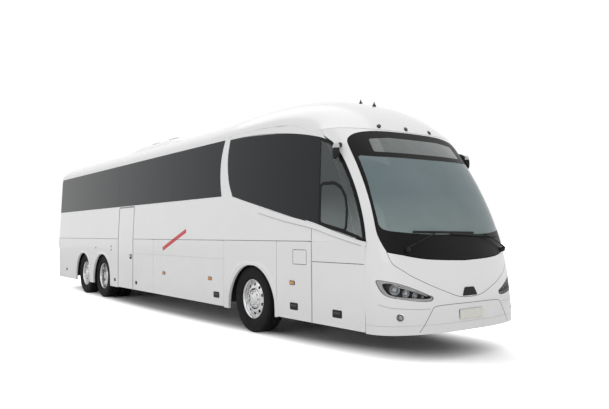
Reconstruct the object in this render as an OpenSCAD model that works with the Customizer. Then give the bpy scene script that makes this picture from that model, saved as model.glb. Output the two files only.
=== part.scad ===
// Three-axle touring coach, nose towards +X, left side towards +Y, standing on z = 0.
// The origin is on the ground in the middle of the coach. All sizes are in millimetres.

/* [Body] */
// Overall length, bumper to bumper
body_l = 14000; // [11600:10:16800]
// Overall width across the side panels
body_w = 2550; // [2125:10:3060]
// Nose to the front axle
front_overhang = 3300; // [2750:10:3960]
// Tail to the drive axle
rear_overhang = 3720; // [3600:10:4460]
// Drive axle to tag axle
tag_gap = 1370; // [1280:10:1640]
// Height of the lower edge of the side panels
sill_z = 330; // [280:5:396]
// Height of the seam between the lower and the upper side panels
waist_z = 1435; // [1420:5:1722]
// Height of the lower edge of the side windows
window_z0 = 2175; // [2000:5:2400]
// Height of the upper edge of the side panels, where the roof begins
cant_z = 3160; // [2900:5:3300]
// How far the side leans in between the waist and the roof
lean = 84; // [60:1:100]
// Rise of the main roof above its edge
roof_rise = 400; // [333:1:480]
// Extra rise of the front dome over the main roof
dome_rise = 65; // [50:1:78]

/* [Nose] */
// Height of the lower edge of the windscreen
scuttle_z = 1190; // [1100:5:1250]
// Height of the upper edge of the windscreen
screen_top_z = 2940; // [2850:5:2990]
// How far the windscreen leans back from its lower to its upper edge
screen_rake = 960; // [800:5:1150]
// How far the scuttle stands behind the bumper face
scuttle_set = 90; // [75:1:108]
// Depth of the rounded front corners at the bumper
corner_low = 560; // [467:1:672]
// Depth of the rounded front corners at the top of the windscreen
corner_high = 450; // [375:1:540]
// Height of the upper edge of the front bumper
bumper_z = 690; // [620:5:720]
// Height of the upper edge of the lamp panel
lamp_panel_z = 885; // [850:5:960]

/* [Panels] */
// Thickness of the upper side walls
wall_t = 60; // [50:1:72]
// Thickness of the lower side panels and flaps
skirt_t = 40; // [34:1:48]
// Thickness of the nose and roof shells
shell_t = 45; // [38:1:54]
// Thickness of the window glass
glass_t = 12; // [10:0.5:14]
// Clear gap around doors and flaps
panel_gap = 7; // [6:0.5:9]
// Seam between fixed panels
seam = 0.5; // [0.3:0.1:0.6]
// Radius of the rear corners
rear_corner_r = 150; // [125:1:180]

/* [Doors] */
// Width of the centre doorway
centre_door_w = 930; // [780:5:1110]
// Drive axle to the rear edge of the centre doorway
centre_door_set = 1240; // [1200:5:1300]
// Height of the top of the centre doorway
centre_door_top = 2148; // [2000:5:2160]
// Width of the front doorway
front_door_w = 940; // [790:5:1120]
// Height of the top of the front doorway
front_door_top = 2450; // [2300:5:2600]
// Thickness of the door leaves
door_t = 45; // [38:1:54]
// Clear gap at the edge of a leaf that swings past its doorway
door_gap = 14; // [12:0.5:16]
// Distance along the coach from a door's post to its pins
door_swing_x = 495; // [440:5:500]

/* [Wheels] */
// Tyre outer radius
tyre_r = 522; // [500:1:522]
// Tyre width
tyre_w = 295; // [246:1:305]
// Radius of the rim flange
rim_r = 305; // [290:1:320]
// Side panel to the outer face of the tyres
tyre_inset = 70; // [60:1:84]
// Distance between the middles of a twin pair
twin_pitch = 330; // [320:1:345]
// Outer wheel middle to kingpin
kingpin_set = 158; // [140:1:170]
// Radius of the front and tag stub axles
stub_r = 45; // [38:0.5:54]
// Radius of the drive axle ends
drive_stub_r = 60; // [50:0.5:72]
// Radial running clearance on shafts
run_gap = 0.3; // [0.2:0.05:0.4]

/* [Cabin] */
// Height of the top of the passenger floor
floor_z = 1400; // [1400:5:1500]
// Thickness of the floors
floor_t = 55; // [46:1:66]
// Height of the top of the driver's platform
cab_floor_z = 950; // [900:5:1000]
// Distance between seat rows
seat_pitch = 800; // [700:5:960]
// Width of one seat
seat_w = 445; // [372:1:470]
// Number of treads below the floor at the centre doorway
treads = 4; // [3:1:5]

/* [Hidden] */

white = [0.93, 0.93, 0.93];
tint = [0.1, 0.11, 0.13];
black = [0.08, 0.08, 0.08];
grey = [0.45, 0.45, 0.47];
steel = [0.6, 0.61, 0.63];

// Main places
half_w = body_w / 2;
nose_x = body_l / 2;
tail_x = -body_l / 2;
front_axle_x = nose_x - front_overhang;
drive_axle_x = tail_x + rear_overhang;
tag_axle_x = drive_axle_x - tag_gap;
roof_z = cant_z + roof_rise;
wheel_y = half_w - tyre_inset - tyre_w / 2;
kingpin_y = wheel_y - kingpin_set;

// Wheel arches: how far each reaches ahead of and behind its axle at the sill
arch_top = tyre_r + 538;
front_arch = [-600, 770];
drive_arch = [-510, 740];
tag_arch = [-560, 580];

// Vertical seams of the lower panels
seam_x = nose_x - 563;
driver_locker_x0 = nose_x - 1630;
front_locker_x0 = front_axle_x + 810;
long_locker_x1 = front_axle_x - 760;
centre_door_x0 = drive_axle_x + centre_door_set;
centre_door_x1 = centre_door_x0 + centre_door_w;
locker_split_x = centre_door_x1 + 1110;
front_door_x0 = nose_x - 1640;
front_door_x1 = front_door_x0 + front_door_w;
box_front_x0 = long_locker_x1 + 20;
box_front_x1 = front_locker_x0 - 15;
box_rear_x0 = tag_axle_x - 680;
box_rear_x1 = drive_axle_x + 850;
locker_z0 = sill_z + 15;
locker_z1 = waist_z - 7;
hinge_r = 4;
hinge_set = hinge_r;
driver_locker_z1 = scuttle_z - 30;

// Frame
rail_y = 380;
rail_w = 80;
rail_z0 = 760;
rail_z1 = cab_floor_z - floor_t - seam;
hold_x0 = centre_door_x1 + 20;
hold_x1 = long_locker_x1 + 5;
hold_floor_z = 420;
plate_t = 20;
step_z = hold_floor_z - 20;
carrier_z0 = floor_z - floor_t - 45;

// ---- helpers -----------------------------------------------------------------------------

function mix(a, b, u) = a + (b - a) * u;
function clamp01(u) = min(1, max(0, u));
function ease(u) = (1 - cos(180 * clamp01(u))) / 2;
function last(v) = v[len(v) - 1];

// Half width of the body at height z: upright to the waist, then leaning in
function side_y(z) = half_w - lean * max(0, z - waist_z) / (cant_z - waist_z);

module along_x(x0, x1) translate([x0, 0, 0]) rotate([90, 0, 90]) linear_extrude(x1 - x0) children();
module along_y(y0, y1) translate([0, y1, 0]) rotate([90, 0, 0]) linear_extrude(y1 - y0) children();
module bar(a, b) translate(a) cube(b - a);
module on_side(s) if (s < 0) mirror([0, 1, 0]) children(); else children();
module both_sides() { on_side(1) children(); on_side(-1) children(); }
module rod_y(x, z, y0, y1, r) translate([x, y1, z]) rotate([90, 0, 0]) cylinder(h = y1 - y0, r = r,
    $fn = 48);
module rod_x(x0, x1, y, z, r) translate([x0, y, z]) rotate([0, 90, 0]) cylinder(h = x1 - x0, r = r,
    $fn = 48);

// Slab of the left side between two depths below its outer face
module side_slab(x0, x1, z0, z1, d0, d1) {
    zs = concat([z0], z0 < waist_z && z1 > waist_z ? [waist_z] : [], [z1]);
    along_x(x0, x1) polygon(concat(
        [for (z = zs) [side_y(z) - d0, z]],
        [for (k = [len(zs) - 1:-1:0]) [side_y(zs[k]) - d1, zs[k]]]));
}

// Part of the left side slab inside an outline in X and Z
module side_panel(outline, z0, z1, d0, d1) {
    xs = [for (p = outline) p[0]];
    intersection() {
        side_slab(min(xs), max(xs), z0, z1, d0, d1);
        along_y(half_w - lean - d1 - 50, half_w + 50) polygon(outline);
    }
}

function box_outline(x0, x1, z0, z1) = [[x0, z0], [x1, z0], [x1, z1], [x0, z1]];

// ---- nose and roof surface ---------------------------------------------------------------
// A ring is [x, z, fall, depth, power, tilt]: the middle point, the direction in which the
// surface falls away towards the sides (0 back, 90 down), how far, how square its corner is,
// and the tilt of the outward normal at the middle.

function face_x(z) = z <= scuttle_z
    ? nose_x - scuttle_set * pow((z - sill_z) / (scuttle_z - sill_z), 2)
    : let (u = (z - scuttle_z) / (screen_top_z - scuttle_z))
        nose_x - scuttle_set - screen_rake * (0.456 * u + 0.544 * u * u);
function face_slope(z) = (face_x(z) - face_x(z + 1));
function face_depth(z) = z <= waist_z ? corner_low
    : mix(corner_low, corner_high, (z - waist_z) / (screen_top_z - waist_z));
function face_ring(z) = [face_x(z), z, 0, face_depth(z), 2.5, atan(face_slope(z))];

dome_x = nose_x - 3700;
dome_z = roof_z + dome_rise;
dome_a = [face_x(screen_top_z), screen_top_z];
dome_b = dome_a + [-520, 610];
dome_d = [dome_x, dome_z];
dome_c = dome_d + [1500, 0];
function dome_at(u) = pow(1 - u, 3) * dome_a + 3 * pow(1 - u, 2) * u * dome_b
    + 3 * (1 - u) * u * u * dome_c + pow(u, 3) * dome_d;
function dome_ring(u) = let (p = dome_at(u), q = dome_at(u + 0.01), v = q - p)
    [p[0], p[1], 90 * sin(90 * min(1, u / 0.6)), mix(corner_high, dome_z - cant_z, u),
        mix(2.5, 2, u), atan2(-v[0], v[1])];

tail_fall = 600;
tail_drop = 230;
function roof_at(x) = x > dome_x - 1100 ? mix(roof_z, dome_z, ease((x - dome_x + 1100) / 1100))
    : x > tail_x + tail_fall ? roof_z
    : roof_z - tail_drop * (1 - sqrt(1 - pow((tail_x + tail_fall - x) / tail_fall, 2)));
function rear_inset(d) = d >= rear_corner_r ? 0
    : rear_corner_r - sqrt(pow(rear_corner_r, 2) - pow(rear_corner_r - d, 2));
function roof_ring(x) = [x, roof_at(x), 90, roof_at(x) - cant_z, 2, 90];

// Point of a ring at angle a from the middle, d below the surface
function ring_point(r, a, d = 0) = let (
    p = pow(abs(sin(a)), 2 / r[4]) * sign(a),
    c = pow(max(0, cos(a)), 2 / r[4]),
    w = side_y(r[1] - r[3] * sin(r[2])) - rear_inset(r[0] - tail_x) - d)
    [r[0] - r[3] * (1 - c) * cos(r[2]) - d * c * cos(r[5]), w * p,
        r[1] - r[3] * (1 - c) * sin(r[2]) - d * c * sin(r[5])];
function ring_end(r) = [r[0] - r[3] * cos(r[2]), r[1] - r[3] * sin(r[2])];
// Angle at which the ring at height z, taken d below the surface, passes the plane x
function angle_at_x(z, x, d = 0) = let (
    c = (x - face_x(z) + face_depth(z)) / (face_depth(z) - d * cos(atan(face_slope(z)))))
    c <= 0 ? 90 : acos(pow(c, 1.25));

// Closed shell over a grid of cells: at(i, j, layer) gives the points of its outer layer 0 and
// its inner layer 1, and keep(i, j) names the cells it has
module shell(rows, cols, at, keep) {
    n = rows * cols;
    function id(i, j) = i * cols + j;
    function has(i, j) = i >= 0 && j >= 0 && i < rows - 1 && j < cols - 1 && keep(i, j);
    function quad(a, b, c, d) = [[a, b, c], [a, c, d]];
    points = [for (layer = [0, 1]) for (i = [0:rows - 1]) for (j = [0:cols - 1]) at(i, j, layer)];
    faces = [for (i = [0:rows - 2]) for (j = [0:cols - 2]) if (has(i, j))
        let (a = id(i, j), b = id(i, j + 1), c = id(i + 1, j + 1), d = id(i + 1, j))
        for (f = concat(
            quad(d, c, b, a), quad(a + n, b + n, c + n, d + n),
            has(i - 1, j) ? [] : quad(a, b, b + n, a + n),
            has(i + 1, j) ? [] : quad(c, d, d + n, c + n),
            has(i, j - 1) ? [] : quad(d, a, a + n, d + n),
            has(i, j + 1) ? [] : quad(b, c, c + n, b + n))) f];
    polyhedron(points = points, faces = faces);
}
// Shell over rings of the nose and roof, between the depths d0 and d1
module ring_shell(rings, angles, d0, d1, keep = function (i, j) true, inner_angles = undef) {
    inner = is_undef(inner_angles) ? angles : inner_angles;
    shell(len(rings), len(angles[0]), function (i, j, layer) layer == 0
        ? ring_point(rings[i], angles[i][j], d0) : ring_point(rings[i], inner[i][j], d1), keep);
}
function same_angles(rings, angles) = [for (r = rings) angles];
function spread(a, b, n) = [for (k = [0:n]) mix(a, b, k / n)];

screen_angle = 60.5;
pillar_angle = 75.5;
// Half angle of the front flap: a V that opens up to the windscreen's width
function flap_angle(z) = mix(14, screen_angle, pow(clamp01((z - lamp_panel_z)
    / (scuttle_z - lamp_panel_z)), 0.6));

// Rings at the waist and above, whose ends are the front edge of the upper walls
screen_zs = spread(scuttle_z, screen_top_z, 12);
corner_glass_top = screen_zs[11];
upper_zs = concat([waist_z], [for (z = screen_zs) if (z > waist_z + 20) z]);
dome_us = concat(spread(0, 0.6, 9), [0.75, 0.9, 1]);
roof_xs = concat([dome_x, dome_x - 370, dome_x - 740, dome_x - 1100, tail_x + tail_fall],
    [for (k = [1:6]) tail_x + tail_fall - (tail_fall - wall_t) * sin(15 * k)]);
roof_rings = concat([for (u = dome_us) dome_ring(u)], [for (k = [1:len(roof_xs) - 1])
    roof_ring(roof_xs[k])]);
edge_points = concat([for (z = upper_zs) ring_end(face_ring(z))],
    [for (k = [1:len(dome_us) - 1]) ring_end(dome_ring(dome_us[k]))]);

// ---- windows in the sides ----------------------------------------------------------------

window_z1 = cant_z - 45;
rear_pane_x0 = tail_x + rear_corner_r + 40;
pane_splits = [drive_axle_x + 1170, front_axle_x - 2850];
pillar_x = front_axle_x - 890;
post_pitch = 1500;
post_w = 70;
glass_land = 35;
rebate = glass_t + seam;
// The white pillar between the window bands bows towards the tail
function bow(z, amount) = amount * (1 - pow((z - mix(window_z0, window_z1, 0.47))
    / ((window_z1 - window_z0) / 2), 2));
pillar_zs = spread(window_z0, window_z1, 8);
function pillar_rear(grow) = [for (z = pillar_zs) [pillar_x - bow(z, 80) + grow, z]];
function pillar_front(grow) = [for (z = pillar_zs)
    [pillar_x + 370 - 120 * (z - window_z0) / (window_z1 - window_z0) - bow(z, 70) - grow, z]];

cab_glass_rear_z = window_z0 - 30;
// Height of the lower edge of the cab window, which falls towards the nose
function cab_glass_z(x) = mix(cab_glass_rear_z, waist_z + 25,
    pow(clamp01((x - pillar_x - 370) / (edge_points[0][0] - pillar_x - 370)), 1.15));
cab_glass_xs = spread(pillar_x + 370, edge_points[0][0] - 40, 6);
// Height of the upper edge of the cab window, which bends down to meet the pillar
cab_top_rear_z = window_z1 - 15;
cab_top_front_z = corner_glass_top;
cab_front_edge = [for (p = edge_points) if (p[1] > waist_z + 90 && p[1] < cab_top_front_z + 1) p - [20, 0]];
function cab_top_z(x) = mix(cab_top_rear_z, cab_top_front_z,
    pow(clamp01((x - pillar_x - 240) / (last(cab_front_edge)[0] - pillar_x - 240)), 2.4));
cab_top_xs = spread(last(cab_front_edge)[0], pillar_x + 420, 8);
function cab_outline(grow) = concat(
    [for (k = [len(pillar_zs) - 1:-1:1]) let (p = pillar_front(grow)[k]) [p[0], min(p[1],
        cab_top_rear_z + grow)]],
    [for (x = cab_glass_xs) [x + grow * (x == cab_glass_xs[0] ? -1 : x == last(cab_glass_xs) ? 1 : 0),
        cab_glass_z(x) - grow]],
    [for (p = cab_front_edge) if (p[1] < cab_top_front_z + 1 + min(grow, 0)) p + [grow, 0]],
    [for (x = cab_top_xs) if (x < cab_top_xs[0] + min(grow, 0) - 1) [x, cab_top_z(x) + grow]]);
function front_pane_outline(grow) = concat(
    [[pane_splits[1] + 3 - grow, window_z1 + grow], [pane_splits[1] + 3 - grow, window_z0 - grow]],
    [for (p = pillar_rear(grow)) [p[0], mix(window_z0 - grow, window_z1 + grow, (p[1] - window_z0)
        / (window_z1 - window_z0))]]);
function pane_outlines(grow) = [
    box_outline(rear_pane_x0 - grow, pane_splits[0] - 3 + grow, window_z0 - grow, window_z1 + grow),
    box_outline(pane_splits[0] + 3 - grow, pane_splits[1] - 3 + grow, window_z0 - grow, window_z1 + grow),
    front_pane_outline(grow)
];

// Openings behind one long pane, in bays with a post between each
module bays(x0, x1, z0, z1) {
    n = max(1, round((x1 - x0) / post_pitch));
    bay = (x1 - x0 - (n - 1) * post_w) / n;
    for (k = [0:n - 1]) along_y(half_w - lean - wall_t - 60, half_w + 60)
        polygon(box_outline(x0 + k * (bay + post_w), x0 + k * (bay + post_w) + bay, z0, z1));
}

// ---- body --------------------------------------------------------------------------------

module arch_cut(x, reach, y0, y1) {
    half = (reach[1] - reach[0]) / 2;
    r = (half * half + pow(arch_top - sill_z, 2)) / (2 * (arch_top - sill_z));
    translate([x + (reach[0] + reach[1]) / 2, y1, arch_top - r]) rotate([90, 0, 0])
        cylinder(h = y1 - y0, r = r, $fn = 96);
}

module cut_box(x0, x1, z0, z1) bar([x0, half_w - skirt_t - 5, z0], [x1, half_w + 5, z1]);

// Fixed lower panels of one side, cut by the arches, the doorways and the flaps
module skirt(s) {
    x1 = s < 0 ? driver_locker_x0 - panel_gap : front_door_x0 - panel_gap;
    color(white) on_side(s) {
        difference() {
            bar([tail_x + rear_corner_r + seam, half_w - skirt_t, sill_z], [x1, half_w, waist_z - seam]);
            arch_cut(front_axle_x, front_arch, half_w - skirt_t - 5, half_w + 5);
            arch_cut(drive_axle_x, drive_arch, half_w - skirt_t - 5, half_w + 5);
            arch_cut(tag_axle_x, tag_arch, half_w - skirt_t - 5, half_w + 5);
            cut_box(centre_door_x1 + panel_gap / 2, long_locker_x1 + panel_gap / 2, sill_z - 1, waist_z + 1);
            if (s < 0) {
                cut_box(centre_door_x0 - panel_gap, centre_door_x1 + panel_gap, sill_z - 1, waist_z + 1);
                cut_box(front_locker_x0 - panel_gap, driver_locker_x0, sill_z - 1, waist_z + 1);
            }
        }
        if (s < 0) bar([driver_locker_x0, half_w - skirt_t, driver_locker_z1 + panel_gap], [seam_x,
            half_w, waist_z - seam]);
        if (s > 0) bar([front_door_x1 + panel_gap, half_w - skirt_t, sill_z], [seam_x, half_w,
            waist_z - seam]);
    }
}
module right_skirt() skirt(-1);
module left_skirt() skirt(1);

wall_x0 = tail_x + rear_corner_r + seam;
function wall_outline() = concat([[wall_x0, waist_z], [wall_x0, cant_z - seam]],
    [for (k = [len(edge_points) - 1:-1:0]) edge_points[k] - [seam,
        edge_points[k][1] > screen_top_z - 120 ? seam : 0]]);

// The front edge of the front door follows the edge of the nose
function front_door_edge(grow) = [for (p = edge_points) if (p[1] < front_door_top)
    [p[0] - panel_gap + grow, p[1]]];
function edge_x(z) = lookup(z, [for (p = edge_points) [p[1], p[0]]]);
function front_door_outline(grow, front_grow = 0) = concat(
    [[front_door_x0 + (grow > 0 ? -grow : door_gap - panel_gap), front_door_top + grow],
        [front_door_x0 + (grow > 0 ? -grow : door_gap - panel_gap), locker_z0 - grow],
        [front_door_x1 + grow, locker_z0 - grow], [front_door_x1 + grow, waist_z - 120]],
    front_door_edge(front_grow), [[edge_x(front_door_top) - panel_gap + front_grow, front_door_top + grow]]);

// Upper wall of one side, with its window openings and the rebates that the panes sit in
module upper_wall(s) {
    color(white) on_side(s) difference() {
        side_panel(wall_outline(), waist_z, cant_z, 0, wall_t);
        for (o = pane_outlines(seam)) side_panel(o, window_z0 - 50, window_z1 + 20, -1, rebate);
        side_panel(cab_outline(seam), waist_z, window_z1 + 20, -1, rebate);
        bays(rear_pane_x0 + glass_land, pane_splits[0] - glass_land, window_z0 + glass_land,
            window_z1 - glass_land);
        bays(pane_splits[0] + glass_land, pane_splits[1] - glass_land, window_z0 + glass_land,
            window_z1 - glass_land);
        bays(pane_splits[1] + glass_land, pillar_x - 80 - glass_land, window_z0 + glass_land,
            window_z1 - glass_land);
        along_y(half_w - lean - wall_t - 60, half_w + 60) polygon(cab_outline(-glass_land));
        if (s < 0) side_panel(box_outline(centre_door_x0 - panel_gap, centre_door_x1 + panel_gap,
            waist_z - 5, centre_door_top + panel_gap), waist_z - 5, centre_door_top + panel_gap, -5,
                wall_t + 5);
        if (s > 0) along_y(half_w - lean - wall_t - 60, half_w + 60)
            polygon(front_door_outline(panel_gap, 60));
        // room for the inner edge of the dome
        bar([dome_a[0] - corner_high - 110, 0, screen_top_z - 15],
            [dome_a[0], side_y(screen_top_z) - shell_t + 3, cant_z]);
    }
}
module right_upper_wall() upper_wall(-1);
module left_upper_wall() upper_wall(1);

module side_windows() color(tint) {
    both_sides() for (o = pane_outlines(0)) side_panel(o, window_z0 - 40, window_z1 + 10, 0, glass_t);
    on_side(-1) side_panel(cab_outline(0), waist_z, window_z1 + 10, 0, glass_t);
    on_side(1) difference() {
        side_panel(cab_outline(0), waist_z, window_z1 + 10, 0, glass_t);
        along_y(half_w - lean - wall_t - 60, half_w + 60) polygon(front_door_outline(panel_gap, 60));
    }
    // glass that wraps the front corners
    zs = concat([waist_z + seam], [for (z = screen_zs) if (z > waist_z + 20 && z < corner_glass_top + 1)
        z > corner_glass_top - 1 ? z - seam : z]);
    both_sides() ring_shell([for (z = zs) face_ring(z)],
        [for (z = zs) spread(pillar_angle + 0.05, 89.99, 4)], 0, glass_t);
}

module roof() color(white)
    ring_shell(roof_rings, same_angles(roof_rings, spread(-90, 90, 28)), 0, shell_t);

// ---- nose --------------------------------------------------------------------------------

module front_bumper() color(white) {
    zs = concat(spread(sill_z, bumper_z - 60, 3), [bumper_z - seam]);
    across = function (z, d) let (e = angle_at_x(z, seam_x + seam, d)) spread(-e, e, 32);
    ring_shell([for (z = zs) face_ring(z)], [for (z = zs) across(z, 0)], 0, shell_t,
        inner_angles = [for (z = zs) across(z, shell_t)]);
}

lamp_z0 = bumper_z + 20;
lamp_z1 = lamp_panel_z - 20;
lamp_angles = [26, 68];
function lamp_panel_row(z, d) = let (e = angle_at_x(z, seam_x + seam, d)) concat(
    spread(-e, -lamp_angles[1], 4), spread(-61, -lamp_angles[0], 5), spread(-18, 18, 4),
    spread(lamp_angles[0], lamp_angles[1], 5 + 1), spread(74, e, 3));
module lamp_panel() color(white) {
    zs = [bumper_z, lamp_z0, lamp_z1, lamp_panel_z - seam];
    rows = [for (z = zs) lamp_panel_row(z, 0)];
    ring_shell([for (z = zs) face_ring(z)], rows, 0, shell_t, function (i, j)
        let (m = abs((rows[1][j] + rows[1][j + 1]) / 2)) i != 1 || m < lamp_angles[0] || m > lamp_angles[1],
        [for (z = zs) lamp_panel_row(z, shell_t)]);
}

module front_flap() color(white) {
    zs = spread(lamp_panel_z, scuttle_z - seam, 6);
    ring_shell([for (z = zs) face_ring(z)],
        [for (z = zs) spread(-flap_angle(z) + 0.05, flap_angle(z) - 0.05, 20)], 0, shell_t);
}

module front_corner_panels() color(white) both_sides() {
    zs = concat(spread(lamp_panel_z, scuttle_z, 6), [waist_z], [for (z = screen_zs) if (z > waist_z + 20)
        z]);
    row = function (z, d) let (inner = z <= scuttle_z ? flap_angle(z) : screen_angle + 0.05,
        outer = z <= waist_z ? angle_at_x(z, seam_x + seam, d)
            : z < corner_glass_top ? angle_at_x(waist_z, seam_x + seam, d) : 89.99)
        concat(spread(inner, pillar_angle, 6), spread(mix(pillar_angle, outer, 0.5), outer, 1));
    ring_shell([for (z = zs) face_ring(z == last(zs) ? z - seam : z)], [for (z = zs) row(z, 0)], 0, shell_t,
        function (i, j) j < 6 || zs[i + 1] <= waist_z || zs[i] > corner_glass_top - 1,
        [for (z = zs) row(z, shell_t)]);
}

module windscreen() color([0.35, 0.45, 0.47]) {
    zs = [for (z = screen_zs) z == last(screen_zs) ? z - seam : z];
    ring_shell([for (z = zs) face_ring(z)],
        [for (z = zs) spread(-screen_angle, screen_angle, 24)], 0, glass_t);
}

module front_lamps() {
    zs = spread(lamp_z0 + seam, lamp_z1 - seam, 3);
    color("gainsboro") both_sides() ring_shell([for (z = zs) face_ring(z)],
        [for (z = zs) spread(lamp_angles[0] + 0.1, lamp_angles[1] - 0.1, 8)], 0, shell_t);
    color("gainsboro") both_sides() {
        fz = sill_z + 194;
        r = face_ring(fz);
        p = ring_point(r, 51.5, -1.9);
        translate(p) rotate([0, 90, 30]) cylinder(h = 14, r = 68, center = false, $fn = 48);
    }
}

// ---- tail --------------------------------------------------------------------------------

engine_door_z0 = 760;
engine_door_z1 = 1640;
engine_door_y = half_w - rear_corner_r - 120;
rear_window_y = half_w - rear_corner_r - 160;
rear_window_z1 = cant_z - 120;
corner_steps = 5;
// Points across the tail: flat between the corners, then round each of them
function tail_columns(inner) = concat(
    [for (k = [0:corner_steps]) [1, 90 - 90 * k / corner_steps]], [[2, inner], [3, inner]],
    [for (k = [0:corner_steps]) [-1, 90 * k / corner_steps]]);
function tail_point(z, column, d) = let (w = side_y(z), r = rear_corner_r)
    column[0] == 2 ? [tail_x + d, column[1], z]
    : column[0] == 3 ? [tail_x + d, -column[1], z]
    : [tail_x + r - (r - d) * cos(column[1]), column[0] * (w - r + (r - d) * sin(column[1])), z];
module tail_shell(zs, inner, d1, keep) {
    columns = tail_columns(inner);
    shell(len(zs), len(columns),
        function (i, j, layer) tail_point(zs[i], columns[j], layer == 0 ? 0 : d1), keep);
}

module rear_wall() color(white) {
    zs = [bumper_z + seam, waist_z, engine_door_z1 + panel_gap, window_z0, rear_window_z1, cant_z - seam];
    tail_shell(zs, engine_door_y + panel_gap, wall_t,
        function (i, j) j != corner_steps + 1 || (i > 1 && i != 3));
    // cap under the end of the roof
    w = side_y(cant_z) - rear_inset(wall_t / 2);
    h = roof_at(tail_x + wall_t) - cant_z;
    along_x(tail_x, tail_x + wall_t - seam) polygon([for (a = spread(-90, 90, 28)) [w * sin(a),
        cant_z + h * cos(a)]]);
}
module rear_window() color(tint) {
    y = engine_door_y + panel_gap - seam;
    bar([tail_x, -y, window_z0 + seam], [tail_x + glass_t, y, rear_window_z1 - seam]);
}
module rear_bumper() color(white)
    tail_shell([sill_z, bumper_z], engine_door_y, shell_t, function (i, j) true);
module rear_lamps() color("firebrick") both_sides() {
    zs = [bumper_z + 90, waist_z - 10];
    shell(2, 4, function (i, j, layer) let (a = 90 * (j + 1) / corner_steps, r = rear_corner_r,
        w = side_y(zs[i]),
        d = layer == 0 ? -6 : -0.3)
        [tail_x + r - (r - d) * cos(a), w - r + (r - d) * sin(a), zs[i]], function (i, j) true);
}
module engine_door() color(white) {
    y = engine_door_y;
    bar([tail_x, -y, engine_door_z0], [tail_x + skirt_t, y, engine_door_z1]);
    rod_y(tail_x + hinge_set, engine_door_z1 + 2.5, -y + 40, y - 40, hinge_r);
}

// ---- flaps and doors of the sides ----------------------------------------------------------

module flap(s, x0, x1, z1) color(white) on_side(s) {
    bar([x0 + panel_gap / 2, half_w - skirt_t, locker_z0], [x1 - panel_gap / 2, half_w, z1]);
    rod_x(x0 + 60, x1 - 60, half_w - hinge_set, z1 + 2.5, hinge_r);
}
module right_rear_locker_door() flap(-1, centre_door_x1 + panel_gap, locker_split_x, locker_z1);
module right_long_locker_door() flap(-1, locker_split_x, long_locker_x1, locker_z1);
module right_front_locker_door() flap(-1, front_locker_x0, driver_locker_x0, locker_z1);
module driver_locker_door() flap(-1, driver_locker_x0, seam_x, driver_locker_z1);
module left_rear_locker_door() flap(1, centre_door_x1 + panel_gap, locker_split_x, locker_z1);
module left_long_locker_door() flap(1, locker_split_x, long_locker_x1, locker_z1);

// Cranked arms of a swinging plug door on the left side. The post stands in the doorway near its
// rear edge, each arm passes round the edge by its crank, and a pin joins it to the leaf.
arm_zs = [cab_floor_z - 190, waist_z - 130];
arm_t = 20;
arm_h = 50;
post_r = 22;
leaf_pin_r = 8;
post_inset = 107;
post_edge = 70;
arm_reach = [door_swing_x, 34];
crank = [46, -127];
bracket_t = 8;
module beam(a, b) {
    v = b - a;
    translate(a) rotate(atan2(v[1], v[0])) translate([0, -arm_t / 2]) square([norm(v), arm_t]);
}
module door_arms(x) color(steel) {
    p = [x + post_edge, half_w - post_inset];
    z0 = step_z + run_gap;
    translate([p[0], p[1], z0]) cylinder(h = last(arm_zs) + arm_h + 60 - z0, r = post_r, $fn = 48);
    for (z = arm_zs) translate([p[0], p[1], z]) linear_extrude(arm_h) difference() {
        union() {
            beam([0, 0], crank);
            beam(crank, arm_reach);
            translate(crank) circle(r = arm_t / 2 + 3, $fn = 32);
            translate(arm_reach) circle(r = post_r, $fn = 48);
        }
        translate(arm_reach) circle(r = leaf_pin_r + run_gap, $fn = 32);
    }
}
// Brackets on the inner face of a leaf, with the pins through the ends of the arms
module leaf_brackets(x) {
    p = [x + post_edge, half_w - post_inset] + arm_reach;
    for (z = arm_zs) {
        translate([p[0], p[1], z - bracket_t - run_gap])
            cylinder(h = arm_h + 2 * bracket_t + 2 * run_gap, r = leaf_pin_r, $fn = 32);
        for (b = [z - bracket_t - run_gap, z + arm_h + run_gap])
            bar([p[0] - 20, p[1] - 18, b], [p[0] + 20, half_w - door_t + 2, b + bracket_t]);
    }
}
module front_door_arms() door_arms(front_door_x0);
module centre_door_arms() on_side(-1) door_arms(centre_door_x0);

module centre_door() {
    leaf = box_outline(centre_door_x0 + door_gap - panel_gap, centre_door_x1, locker_z0, centre_door_top);
    color(white) on_side(-1) {
        side_panel(leaf, locker_z0, centre_door_top, 0, door_t);
        leaf_brackets(centre_door_x0);
    }
}
module front_door() {
    glass = concat([[front_door_x0 + 80, front_door_top - 80], [front_door_x0 + 80, waist_z - 300],
        [front_door_x1 - 80, waist_z - 300], [front_door_x1 - 80, waist_z - 100]],
        [for (p = front_door_edge(0)) if (p[1] < front_door_top - 160) [p[0] - 90, p[1]]],
        [[last(front_door_edge(0))[0] - 110, front_door_top - 80]]);
    color(white) {
        difference() {
            side_panel(front_door_outline(0), locker_z0, front_door_top, 0, door_t);
            side_panel(glass, locker_z0, front_door_top, -5, door_t + 5);
        }
        leaf_brackets(front_door_x0);
    }
    color(tint) side_panel(glass, locker_z0, front_door_top, door_t / 2 - 6, door_t / 2 + 6);
}

// ---- floors and frame ----------------------------------------------------------------------

floor_x0 = tail_x + wall_t + seam;
floor_x1 = nose_x - 2050;
inner_y = half_w - wall_t - seam;
well_y = 500;
tread_w = 160;
riser_t = 20;
stair_x1 = centre_door_x1 - 45;
function tread_z(k, top, n) = mix(top, step_z, k / n);
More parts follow.
